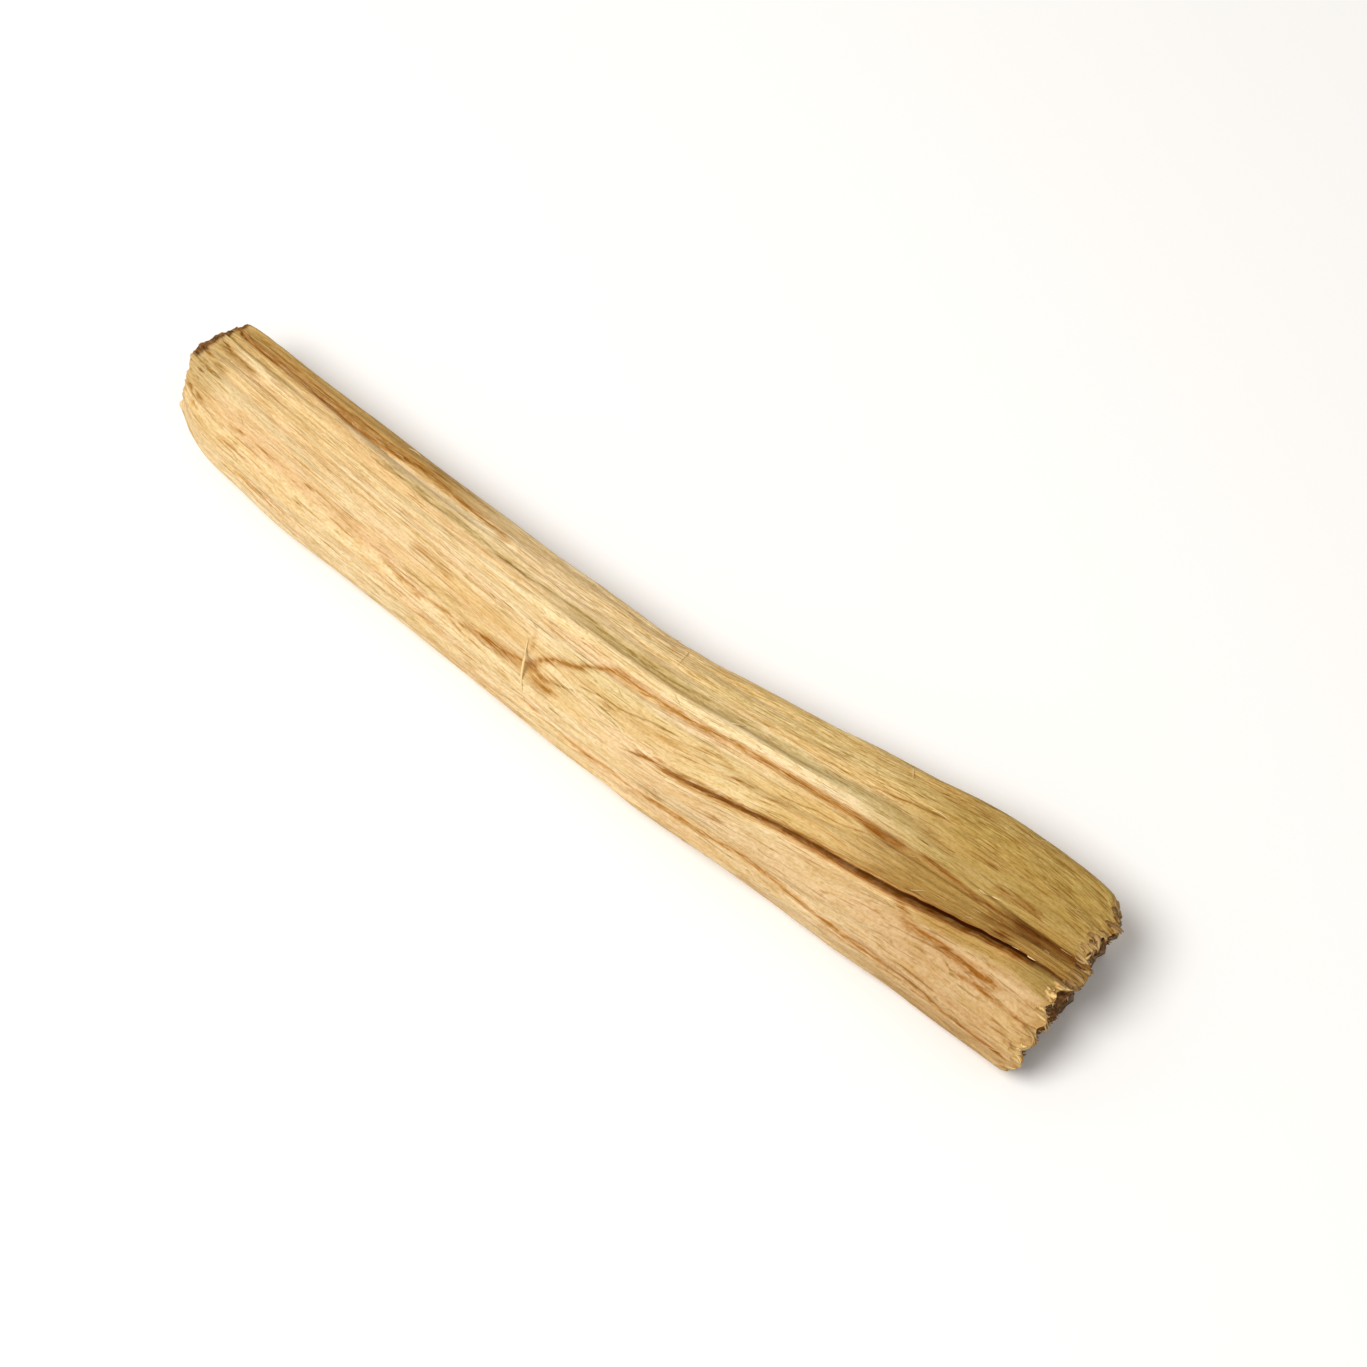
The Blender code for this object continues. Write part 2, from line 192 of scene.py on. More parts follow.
# The grain's own measure across the fibres: the distance round the middle section, swayed twice by smooth
# noise, each time by (size, length, width, place in the noise)
GRAIN_SWAY = ((0.16, 11.0, 3.5, 5.0), (0.06, 2.2, 0.9, 15.0))
straight = np.broadcast_to(across[len(stations) // 2][None], across.shape)
grain = straight
for size, length, width, where in GRAIN_SWAY:
    spots = zip((station_x / length).ravel(), (straight / width).ravel())
    sway = [noise.noise(Vector((along, wide, where))) for along, wide in spots]
    grain = grain + size * np.reshape(sway, across.shape)


def furrow(half_width, depth, route):
    """A furrow along a route of (x, line) that fades out at its ends."""
    cut = np.zeros(across.shape)
    start, end = route[0][0], route[-1][0]
    for i, x in enumerate(stations):
        if start < x < end:
            gap = across[i] - np.interp(curve_through(route, x)[0], fine_lines, across[i])
            cut[i] = depth * min((x - start) / 4, (end - x) / 4, 1) * np.exp(-((gap / half_width) ** 2))
    return cut


def lump(middle, line, along, wide):
    gap = across - np.array([np.interp(line, fine_lines, row) for row in across])[:, None]
    return np.exp(-(((station_x - middle) / along) ** 2) - (gap / wide) ** 2)


def streaky(length, width, where):
    """Smooth noise that is long with the grain and narrow across it."""
    spots = zip((station_x / length).ravel(), (grain / width).ravel())
    return np.reshape([noise.noise(Vector((along, wide, where))) for along, wide in spots], across.shape)


# The form of the split faces, as in the solid: long waves as (length, lines apart, size, place in the
# noise), furrows as (half width, depth, route), and lumps as (x, line, half length, half width, height)
WAVES = ((26.0, 0.75, 0.42, 3.0), (10.0, 0.33, 0.24, 9.0))
FURROWS = [
    (0.55, 0.25, [(-51.5, 11.35), (-43, 11.17), (-34.5, 10.9), (-16, 11.1)]),
    (0.5, 0.4, [(-51.5, 9.3), (-45.5, 9.35), (-35, 9.28)]),
    (0.45, 0.3, [(-51.5, 10.3), (-43, 10.3), (-36, 10.2)]),
    (0.45, 0.3, [(-51.5, 7.9), (-44, 7.9), (-38, 7.9)]),
    (0.5, 0.3, [(-51.5, 3.3), (-44, 3.4), (-36, 3.4)]),
    (0.5, 0.22, [(-26, 10.1), (0, 10.18), (16, 10.25), (27, 10.4)]),
    (0.5, 0.25, [(-46, 1.9), (-34, 2.3), (-22, 2.4)]),
    (0.5, 0.25, [(-8, 2.5), (9, 2.35), (23, 2.5), (41, 2.1), (51.5, 2.0)]),
    (0.45, 0.4, [(14, 7.87), (20, 7.83), (26.4, 8.16), (29, 8.6)]),
    (0.5, 0.55, [(27, 9.05), (29.6, 9.07), (32.5, 9.1)]),
    (0.6, 0.45, [(-15, 4.0), (-10.6, 4.3), (-6.5, 4.8), (-3, 4.6)]),
    (0.9, 0.55, [(-43, 12.5), (-12, 12.8), (21, 12.5)]),
    (0.8, 0.5, [(4, 13.3), (28, 13.2), (51.5, 13.5)]),
    (0.8, 0.45, [(-51.5, 0.8), (-20, 0.7), (8, 0.9)]),
]
LUMPS = [
    (-5.0, 7.6, 6.0, 2.0, 0.35), (-6.3, 4.9, 1.0, 0.7, -0.55), (31.0, 11.9, 3.2, 0.8, 0.12),
    (25.6, 11.8, 1.4, 0.8, -0.12), (4.6, 11.8, 1.3, 0.7, 0.3),
]
spread = np.interp(fine_lines, (0, 5, 7, 14), (0, 5, 5.3, 12.3))
relief = np.zeros(across.shape)
for length, apart, size, where in WAVES:
    for i, x in enumerate(stations):
        relief[i] += [size * noise.noise(Vector((x / length, line / apart, where))) for line in spread]
for half_width, depth, route in FURROWS:
    relief -= furrow(half_width, depth, route)
for x, line, along, wide, height in LUMPS:
    relief += height * lump(x, line, along, wide)

# The fibres: low ridges as (height, length, width, place in the noise), thin slivers torn out along the
# grain, ledges where one layer of fibres ends above the next, flutes and bumps that run in from both ends,
# and pits, most of them near the crushed one, as (x, line, half length, half width, depth)
RIDGES = ((0.018, 6.0, 0.62, 21.0), (0.015, 2.6, 0.38, 33.0), (0.012, 1.2, 0.28, 45.0))
SLIVER_DEPTH, LEDGE_HEIGHT = 0.06, 0.035
CRUSHED_FADE, CRUSHED_FLUTES, CRUSHED_BUMPS, CRUSHED_LUMPS = 2.4, 0.1, 0.06, 0.15
TORN_FADE, TORN_FLUTES, TORN_BUMPS = 1.5, 0.14, 0.20
form = relief.copy()
for height, length, width, where in RIDGES:
    relief += height * streaky(length, width, where)
relief -= SLIVER_DEPTH * np.clip(streaky(3.2, 0.34, 57.0) - 0.34, 0, 0.3) / 0.3
layers = 2.0 * streaky(12.0, 1.3, 69.0)
relief += LEDGE_HEIGHT * (np.floor(layers) + np.clip((layers - np.floor(layers)) * 3, 0, 1))
near_crushed = np.exp(-(station_x + HALF_LENGTH) / CRUSHED_FADE)
near_torn = np.exp((station_x - HALF_LENGTH) / TORN_FADE)
relief -= CRUSHED_FLUTES * near_crushed * np.clip(1 - np.abs(streaky(4.0, 0.7, 81.0)) * 3.5, 0, 1)
relief -= TORN_FLUTES * near_torn * np.clip(1 - np.abs(streaky(5.0, 0.8, 93.0)) * 4.0, 0, 1)
relief += (CRUSHED_BUMPS * near_crushed + TORN_BUMPS * near_torn) * streaky(1.0, 0.45, 99.0)
relief += CRUSHED_LUMPS * near_crushed**2 * streaky(0.55, 0.45, 147.0)
PITS = [
    (-49.4, 9.62, 0.4, 0.22, 0.35), (-48.9, 9.45, 0.35, 0.24, 0.35), (-48.6, 9.4, 1.0, 0.14, 0.16),
    (-46.2, 9.42, 1.3, 0.16, 0.16), (-49.5, 7.5, 0.4, 0.3, 0.45), (-48.7, 7.42, 0.5, 0.2, 0.3),
    (-47.9, 7.46, 0.5, 0.14, 0.2), (-49.5, 7.1, 0.4, 0.24, 0.35), (-46.8, 7.2, 1.5, 0.12, 0.1),
    (-50.4, 8.3, 0.35, 0.25, 0.35), (-49.7, 8.1, 0.6, 0.16, 0.28), (-48.4, 7.88, 0.8, 0.14, 0.14),
    (-50.3, 10.3, 0.4, 0.22, 0.3), (-49.5, 10.95, 0.4, 0.2, 0.35), (-48.5, 10.85, 0.6, 0.14, 0.2),
    (-45.4, 10.86, 1.3, 0.2, 0.22), (-38.5, 10.9, 1.2, 0.18, 0.16), (-49.9, 3.6, 0.35, 0.26, 0.35),
    (-49.2, 3.3, 0.5, 0.16, 0.28), (-48.4, 3.7, 0.4, 0.18, 0.28), (-48.6, 3.0, 0.6, 0.14, 0.18),
    (-49.6, 4.6, 0.4, 0.2, 0.15), (-42.6, 3.98, 0.5, 0.14, 0.22), (-39.4, 4.05, 1.0, 0.1, 0.14),
    (-33.6, 4.22, 0.5, 0.14, 0.18), (-14.4, 10.21, 1.3, 0.14, 0.16),
]
pitted = 1 + 1.4 * streaky(0.6, 0.25, 159.0)
for x, line, along, wide, depth in PITS:
    relief -= depth * pitted * lump(x, line, along, wide)

# A hollow is painted with shade, darkest where it lies this deep below the rows beside it. The foot stays
# flat
HOLLOW_DEPTH, HOLLOW_ROWS, FOOT_MARGIN = 0.09, 7, 2.0
fibres = relief - form
around = np.mean([np.roll(fibres, shift, axis=1) for shift in range(-HOLLOW_ROWS, HOLLOW_ROWS + 1)], axis=0)
hollow_shade = np.clip((around - fibres) / HOLLOW_DEPTH, 0, 1)
to_foot = np.minimum(across, across[:, rear_foot : rear_foot + 1] - across)
off_the_feet = np.clip(to_foot / FOOT_MARGIN, 0, 1)
net = rows + outward * (relief * off_the_feet)[..., None]

# The rough ends. The first values are the solid's own, with its bites as (y, z, reach, radius). The rim
# follows them, but for where it stands further in or out, as (y, z, radius, reach), and the face stands
# back from it
TOP_OF_END = 9.4
TORN_LEAN, TORN_ROUGH, TORN_GRAIN = 0.09, 0.9, 1.4
TORN_BITES = [(0.4, 8.8, 0.7, 1.1), (-1.5, 7.9, -1.6, 1.0), (-3.2, 8.0, -0.9, 0.8), (2.6, 9.4, -0.6, 0.8),
              (-6.9, 5.5, -0.7, 0.9), (8.4, 8.0, -0.7, 1.2), (5.4, 9.2, 0.3, 1.0)]
CRUSHED_BACK, CRUSHED_ACROSS, CRUSHED_LEAN, CRUSHED_ROUGH, CRUSHED_GRAIN = 1.1, (1.5, 6.2), 0.08, 0.7, 1.0
UNDERCUT, LONGEST, RIM_ROUGH, EVENED_OVER = 0.08, 51.3, 0.06, 0.45
RIM_ROUNDING = {-1: 0.05, 1: 0.02}
FACE_RECESS = {-1: 0.15, 1: 0.35}
FACE_ROUGH = ((0.34, 0.45, 11.5), (0.16, 0.19, 19.5))
RIM_OUT = {
    -1: [(-0.6, 8.5, 1.3, 0.45), (-4.9, 5.5, 2.2, -0.45)],
    1: [(4.4, 9.4, 1.6, -1.1), (4.2, 6.2, 2.6, -0.75), (7.8, 7.2, 1.7, -0.85), (6.8, 0.6, 2.2, -0.5),
        (0.5, 8.9, 1.0, 0.65), (-1.5, 7.9, 0.8, 0.75), (-4.2, 7.3, 1.6, 0.45), (-7.0, 4.5, 2.6, 0.6)],
}


def solid_end(side, y, z):
    """Where the solid's end lies at (y, z): the torn one if side is 1, the crushed one if it is -1."""
    if side > 0:
        x = HALF_LENGTH - TORN_LEAN * (TOP_OF_END - z)
        x += TORN_ROUGH * noise.noise(Vector((0.5, y / TORN_GRAIN, z / TORN_GRAIN)))
        for bite_y, bite_z, reach, radius in TORN_BITES:
            x += reach * math.exp(-((y - bite_y) ** 2 + (z - bite_z) ** 2) / radius**2)
        return x
    start, end = CRUSHED_ACROSS
    towards_rear = min(max((0.935 * y + 0.354 * z - start) / (end - start), 0.0), 1.0)
    x = CRUSHED_BACK * towards_rear**2 + CRUSHED_LEAN * (TOP_OF_END - z) - HALF_LENGTH
    return x + CRUSHED_ROUGH * noise.noise(Vector((7.5, y / CRUSHED_GRAIN, z / CRUSHED_GRAIN)))


def rim_at(side, y, z):
    """Where the rim lies. It is undercut at the torn end, and evened out at the crushed one."""
    beside = ((0, 0), (1, 0), (-1, 0), (0, 1), (0, -1)) if side < 0 else ((0, 0),)
    near = [(y + EVENED_OVER * aside, z + EVENED_OVER * up) for aside, up in beside]
    x = sum(solid_end(side, *place) for place in near) / len(near)
    x += RIM_ROUGH * noise.noise(Vector((15.5, y / 0.5, z / 0.5)))
    for out_y, out_z, radius, reach in RIM_OUT[side]:
        x += side * reach * math.exp(-((y - out_y) ** 2 + (z - out_z) ** 2) / radius**2)
    if side > 0:
        x -= UNDERCUT * (TOP_OF_END - z)
    return side * min(side * x, LONGEST)


def end_at(side, y, z):
    """Where the face between the broken fibres lies. It stands back from the rim, and is rougher."""
    x = rim_at(side, y, z) - side * FACE_RECESS[side]
    for size, width, where in FACE_ROUGH:
        x += size * noise.noise(Vector((where, y / width, z / width)))
    return side * min(side * x, LONGEST)


net_x = station_x.copy()
for i, x in enumerate(stations):
    side = 1 if x > 0 else -1
    share = np.clip((abs(x) - (HALF_LENGTH - END_ZONE)) / END_ZONE, 0, 1)
    if share == 0:
        continue
    centre = net[i].mean(axis=0)
    net[i] += (centre - net[i]) * RIM_ROUNDING[side] * share**3
    shifts = np.array([rim_at(side, y, z) for y, z in net[i]]) - side * HALF_LENGTH
    net_x[i] += share * shifts
net[..., 1] = np.maximum(net[..., 1], 0.0)

# A flat grid of fine rows is laid over the form, and its long edges are joined below. The solid is centred
# on its box, and middle is where that was
middle = np.array([0.0155, 0.0935, 0.0])
bpy.ops.object.select_all(action="DESELECT")
bpy.ops.mesh.primitive_grid_add(x_subdivisions=row_count - 1, y_subdivisions=len(stations) - 1, size=1)
wood = bpy.context.object
wood.name = "split_wood"
wood.data.name = "split_wood"
points = np.concatenate([net_x[..., None], net], axis=2) - middle
wood.data.vertices.foreach_set("co", (points * MM).astype(np.float32).ravel())

shell = bmesh.new()
shell.from_mesh(wood.data)
shell.verts.ensure_lookup_table()
for i in range(len(stations) - 1):
    start, after = i * row_count, (i + 1) * row_count
    shell.faces.new([shell.verts[k] for k in (start, start + row_count - 1, after + row_count - 1, after)])


def gap_to_rim(spot, rim):
    """The distance from a point to the nearest edge of the rim."""
    gaps = []
    for start, end in rim:
        _, share = intersect_point_line(spot, start, end)
        gaps.append((spot - (start + (end - start) * min(max(share, 0.0), 1.0))).length)
    return min(gaps)


SPOT_SPACING, RIM_MARGIN, CRUSHED_BARE = 0.36, 0.12, 0.40


def close_end(first, side, bare):
    """Fills an end's outline with a rough face, and returns its spots further than bare from the rim."""
    ring = [shell.verts[first + k] for k in range(row_count)]
    outline = [Vector((vert.co.y, vert.co.z)) / MM for vert in ring]
    rim = [(k, (k + 1) % row_count) for k in range(row_count)]
    rim_edges = [(outline[a], outline[b]) for a, b in rim]
    low, high = np.min(outline, axis=0), np.max(outline, axis=0)
    inner = []
    for y in np.arange(low[0] + RIM_MARGIN, high[0], SPOT_SPACING):
        for z in np.arange(low[1] + RIM_MARGIN, high[1], SPOT_SPACING):
            shake = noise.random_vector()[:2]
            spot = Vector((y + 0.3 * SPOT_SPACING * shake[0], z + 0.3 * SPOT_SPACING * shake[1]))
            if gap_to_rim(spot, rim_edges) > RIM_MARGIN:
                inner.append(spot)
    found = delaunay_2d_cdt(outline + inner, rim, [list(range(row_count))], 1, 1e-6)
    places, faces, origins = found[0], found[2], found[3]
    verts, spots = [], []
    for place, origin in zip(places, origins):
        on_rim = [k for k in origin if k < row_count]
        if on_rim:
            verts.append(ring[on_rim[0]])
        else:
            x = end_at(side, place.x + middle[1], place.y) - middle[0]
            verts.append(shell.verts.new(Vector((x, place.x, place.y)) * MM))
    for face in faces:
        shell.faces.new([verts[k] for k in face])
    inside = {k for face in faces for k in face}
    return [tuple(places[k]) for k in inside if gap_to_rim(places[k], rim_edges) > bare]


noise.seed_set(7)
crushed_spots = close_end(0, -1, CRUSHED_BARE)
shell.verts.ensure_lookup_table()
torn_spots = close_end((len(stations) - 1) * row_count, 1, RIM_MARGIN)
bmesh.ops.delete(shell, geom=[vert for vert in shell.verts if not vert.link_faces], context="VERTS")
bmesh.ops.recalc_face_normals(shell, faces=shell.faces)
shell.to_mesh(wood.data)
shell.free()
wood.data.shade_smooth()

# The wood's colours, laid one over the other, its own but for a painted shade near the torn rim: the
# colour, its share, the lines and the x that it lies between, and how softly it ends in lines and in x.
# Then the lines drawn on it, as (half width, share, route): brown resin, fine cracks, green-grey stains and
# pale fibres
CREAM = (0.79, 0.618, 0.355)
TONES = [
    ((0.75, 0.59, 0.345), 0.8, -1.0, 3.3, -60, 2, 0.6, 10),
    ((0.69, 0.455, 0.225), 0.8, 3.3, 4.95, -60, -20, 0.7, 8),
    ((0.62, 0.42, 0.16), 0.55, 3.8, 4.95, -26, 2, 0.5, 8),
    ((0.72, 0.56, 0.28), 0.85, 6.9, 8.7, -7, 30, 0.4, 8),
    ((0.7, 0.47, 0.2), 0.6, 6.9, 7.7, -24, -2, 0.3, 6),
    ((0.68, 0.51, 0.285), 0.9, -1.0, 4.6, 0, 60, 0.4, 16),
    ((0.55, 0.37, 0.175), 0.85, -1.0, 4.6, 24, 60, 0.4, 16),
    ((0.48, 0.305, 0.095), 0.9, 10.9, 14.8, -60, -15, 0.3, 10),
    ((0.6, 0.385, 0.145), 0.85, 10.35, 11.2, -60, -31, 0.3, 5),
    ((0.64, 0.48, 0.24), 0.6, 9.85, 10.6, -44, -7, 0.25, 5),
    ((0.55, 0.39, 0.14), 0.7, 9.9, 10.6, -56, -39, 0.2, 4),
    ((0.52, 0.36, 0.13), 0.6, 2.9, 11.3, -60, -45.6, 0.5, 3.2),
    ((0.47, 0.305, 0.1), 0.65, 8.8, 9.75, -60, -43.5, 0.2, 3.0),
    ((0.72, 0.54, 0.23), 0.75, 10.4, 14.8, -6, 60, 0.3, 16),
    ((0.46, 0.365, 0.145), 0.5, 9.92, 10.55, -12, 34, 0.12, 8),
    ((0.88, 0.73, 0.45), 0.8, 9.15, 9.95, -20, 32, 0.25, 8),
    ((0.83, 0.66, 0.415), 0.7, 8.1, 8.9, 2, 27, 0.3, 6),
    ((0.46, 0.33, 0.1), 0.9, 9.1, 14.8, 22, 60, 0.3, 14),
    ((0.39, 0.25, 0.062), 0.6, 9.1, 14.8, 36, 60, 0.3, 10),
    ((0.66, 0.465, 0.19), 0.8, 6.95, 9.35, 14, 60, 0.2, 10),
    ((0.38, 0.225, 0.055), 0.9, 6.95, 9.45, 24, 60, 0.2, 10),
    ((0.19, 0.088, 0.014), 0.85, 8.85, 9.75, 40, 60, 0.22, 4),
    ((0.5, 0.335, 0.11), 0.95, 4.1, 5.7, 33, 60, 0.25, 4),
    ((0.33, 0.245, 0.075), 0.65, 4.1, 5.2, 43, 60, 0.25, 4),
    ((0.4, 0.24, 0.08), 0.5, 0.4, 1.7, 26, 60, 0.3, 16),
    ((0.6, 0.36, 0.13), 0.7, 4.6, 5.8, 8, 48, 0.2, 4),
    ((0.36, 0.215, 0.05), 0.7, 6.95, 9.1, 48.2, 60, 0.2, 1.5),
    ((0.56, 0.39, 0.15), 0.85, 12.2, 15.6, -70, 70, 0.5, 10),
    # Darker near the torn rim: partly the wood's own brown, partly painted shade among the folded chips
    ((0.42, 0.255, 0.08), 0.6, -1.0, 14.9, 49.0, 60, 0.3, 1.8),
]
KNOT_VEIN = [(-6.5, 4.9), (-6.0, 6.9), (-5.6, 7.17), (-4.9, 7.45), (-4.4, 7.57), (-3.5, 7.7), (-2.4, 7.85),
             (-1.9, 8.08), (-1.05, 8.47), (-0.1, 8.87), (1.0, 9.03)]
RESIN = [
    (0.4, 0.8, [(-52, 11.0), (-47, 11.0), (-42, 11.05), (-38, 10.95), (-35.8, 10.92)]),
    (0.3, 0.95, [(-48.5, 10.85), (-46, 10.85), (-43.8, 10.87)]),
    (0.3, 0.9, [(-40.0, 10.92), (-37.6, 10.93), (-35.8, 10.9), (-30.0, 11.0), (-26.0, 11.26),
        (-24.5, 11.25)]),
    (0.13, 0.7, [(-46.5, 11.35), (-42, 11.33), (-38.7, 11.25), (-33.3, 11.28), (-28, 11.3),
        (-24, 11.5)]),
    (0.15, 0.95, [(-26, 11.27), (-24, 11.25), (-22.6, 11.18), (-21, 11.14), (-17.7, 11.1),
        (-15.4, 10.97)]),
    (0.45, 0.4, [(-27, 11.7), (-22, 11.8), (-18, 11.7)]),
    (0.75, 0.6, [(-49.5, 10.95), (-44, 10.95), (-38, 10.95), (-33, 11.0)]),
    (0.5, 0.5, [(-34, 11.0), (-28, 11.15), (-22, 11.2), (-15, 11.0)]),
    (0.14, 0.45, [(-44.8, 9.97), (-41.0, 9.9), (-36.9, 9.8)]),
    (0.12, 0.3, [(-14.8, 9.55), (-9.8, 9.62), (-4.2, 9.58)]),
    (0.16, 0.5, [(-36, 7.92), (-30, 7.9), (-25, 7.88), (-18, 7.85), (-11.5, 7.86)]),
    (0.6, 0.45, [(-22.5, 7.4), (-20, 7.5), (-17, 7.35)]),
    (0.35, 0.5, [(-24.5, 3.98), (-21, 3.7), (-18, 3.8)]),
    (0.22, 0.8, [(-19.7, 3.45), (-18, 3.75), (-16.3, 3.95), (-14.6, 3.9), (-12.9, 4.1)]),
    (0.2, 0.9, [(-13.6, 4.03), (-11.2, 4.27), (-9.6, 4.35), (-8.3, 4.53), (-7, 4.7), (-6.3, 4.85)]),
    (0.45, 0.65, [(-14.5, 4.0), (-11.2, 4.2), (-9.6, 4.3), (-8.3, 4.5), (-6.5, 4.75)]),
    (0.1, 0.7, [(-15.6, 3.7), (-13.8, 3.6), (-11.5, 3.55)]),
    (0.1, 0.5, [(-26, 4.0), (-23, 4.15), (-20, 4.3), (-17.5, 4.35)]),
    (0.24, 1.0, KNOT_VEIN),
    (0.45, 0.6, KNOT_VEIN),
    (0.44, 0.8, [(-0.8, 8.7), (1.0, 9.03), (4.0, 9.03), (9.0, 9.0), (13.0, 9.0)]),
    (0.13, 0.45, [(0.6, 9.0), (4.0, 8.98), (9.0, 8.97), (13.0, 8.98), (15.0, 9.02)]),
    (0.34, 0.85, [(11.5, 9.03), (14.4, 9.12), (18, 9.15), (22, 9.14), (26, 9.17), (28.5, 9.2)]),
    (0.12, 0.75, [(14.0, 8.98), (18, 8.95), (21, 8.98), (23, 9.0), (26, 9.05)]),
    (0.25, 0.65, [(-7.8, 8.0), (-7.2, 7.6), (-6.8, 7.1), (-6.5, 4.9)]),
    (0.45, 0.7, [(-6.3, 4.85), (-5.0, 4.68), (-3.9, 4.78), (-3.0, 4.9)]),
    (0.55, 0.7, [(-6.0, 4.4), (-4.5, 4.35), (-2.6, 4.45)]),
    (0.1, 0.55, [(-26, 2.37), (-22.8, 2.4), (-18.8, 2.52), (-12.5, 2.6)]),
    (0.1, 0.55, [(-41.9, 1.95), (-38.7, 2.05), (-35, 2.2), (-31.2, 2.33), (-25, 2.35)]),
    (0.11, 0.7, [(-6.4, 2.52), (-4.9, 2.45), (-3.2, 2.38), (1, 2.22), (4, 2.22), (8.3, 2.15),
        (12.3, 2.2)]),
    (0.2, 0.9, [(9.0, 2.16), (12.3, 2.2), (14.4, 2.22), (17.7, 2.35), (22, 2.43), (25, 2.37),
        (28, 2.26)]),
    (0.18, 0.9, [(25, 2.35), (28, 2.25), (31.2, 2.2), (36.4, 2.2), (39.4, 2.25), (41.7, 2.1),
        (44.8, 2.05), (50, 1.9)]),
    (0.1, 0.6, [(26.5, 2.05), (31.2, 2.04), (35, 2.02), (41, 2.05)]),
    (0.3, 0.95, [(37.5, 2.24), (39.4, 2.25), (41.7, 2.13)]),
    (0.7, 0.6, [(8.2, 2.6), (9.4, 2.65), (10.6, 2.6)]),
    (0.18, 0.7, [(11.0, 7.95), (12.4, 7.97), (14.8, 7.9)]),
    (0.16, 0.85, [(14.8, 7.58), (15.7, 7.62), (17.0, 7.62), (17.6, 7.66)]),
    (0.13, 0.75, [(18.4, 7.53), (19.6, 7.6), (21.3, 7.62)]),
    (0.09, 0.7, [(16.8, 7.32), (18.4, 7.37), (20.2, 7.45)]),
    (0.22, 0.8, [(15.0, 3.85), (17.0, 3.8)]),
    (0.4, 0.9, [(26.5, 9.1), (29.2, 9.1), (31.0, 9.18)]),
    (0.17, 1.0, [(33.0, 9.33), (34.0, 9.37), (35.6, 9.27), (37.6, 9.2)]),
    (0.11, 0.95, [(38.0, 9.18), (38.9, 9.1), (40.2, 9.18), (42.6, 9.2)]),
    (0.35, 0.95, [(43.0, 9.25), (45.0, 9.32), (47, 9.4), (52, 9.45)]),
    (0.12, 0.9, [(39.4, 9.55), (40.2, 9.6), (41.2, 9.68)]),
    (0.5, 0.7, [(39.8, 10.1), (42, 10.15), (45, 10.15)]),
    (0.6, 0.7, [(40.2, 8.2), (43.0, 8.4), (46.5, 8.9)]),
    (0.45, 0.85, [(42.2, 7.5), (43.2, 7.7), (44.0, 8.0)]),
    (0.1, 0.7, [(26.9, 9.97), (28.9, 9.97)]),
    (0.22, 0.85, [(6.5, 4.95), (10, 5.05), (18, 5.1), (28, 5.12), (38, 5.12), (47, 5.1)]),
    (0.16, 0.75, [(8, 7.06), (18, 7.06), (28, 7.06), (38, 7.06), (47, 7.05)]),
    (0.3, 0.8, [(12, 5.0), (20, 5.0), (30, 4.97), (38, 4.95), (46, 4.95)]),
    (0.1, 0.7, [(31.4, 9.97), (33.1, 9.97)]),
    (0.09, 0.8, [(25, 10.6), (27.6, 10.68), (30.1, 10.78), (33, 10.88)]),
    (0.09, 0.6, [(12, 10.6), (18, 10.62), (25, 10.6)]),
    (0.1, 0.7, [(30.8, 11.68), (31.8, 11.6), (36.5, 11.55)]),
    (0.09, 0.6, [(38, 11.55), (42, 11.58), (46, 11.52)]),
    (0.45, 0.8, [(33.5, 4.65), (34.4, 4.45), (35.4, 4.2)]),
    (0.15, 0.95, [(35.4, 4.05), (36.2, 4.0), (37.3, 4.0), (39.4, 3.9), (41.3, 3.8), (44.8, 3.65),
        (46.3, 3.75)]),
    (0.5, 0.85, [(35.0, 3.95), (39.4, 3.8), (42.8, 3.7), (45.5, 3.65)]),
    (0.22, 0.95, [(41.6, 3.37), (43, 3.4), (46, 3.35), (50.5, 3.32)]),
    (0.1, 0.55, [(-47.1, 3.2), (-45, 3.4), (-42.3, 3.5), (-39, 3.55)]),
    (0.35, 0.5, [(-50.5, 3.4), (-48.6, 3.4), (-47.0, 3.5)]),
]
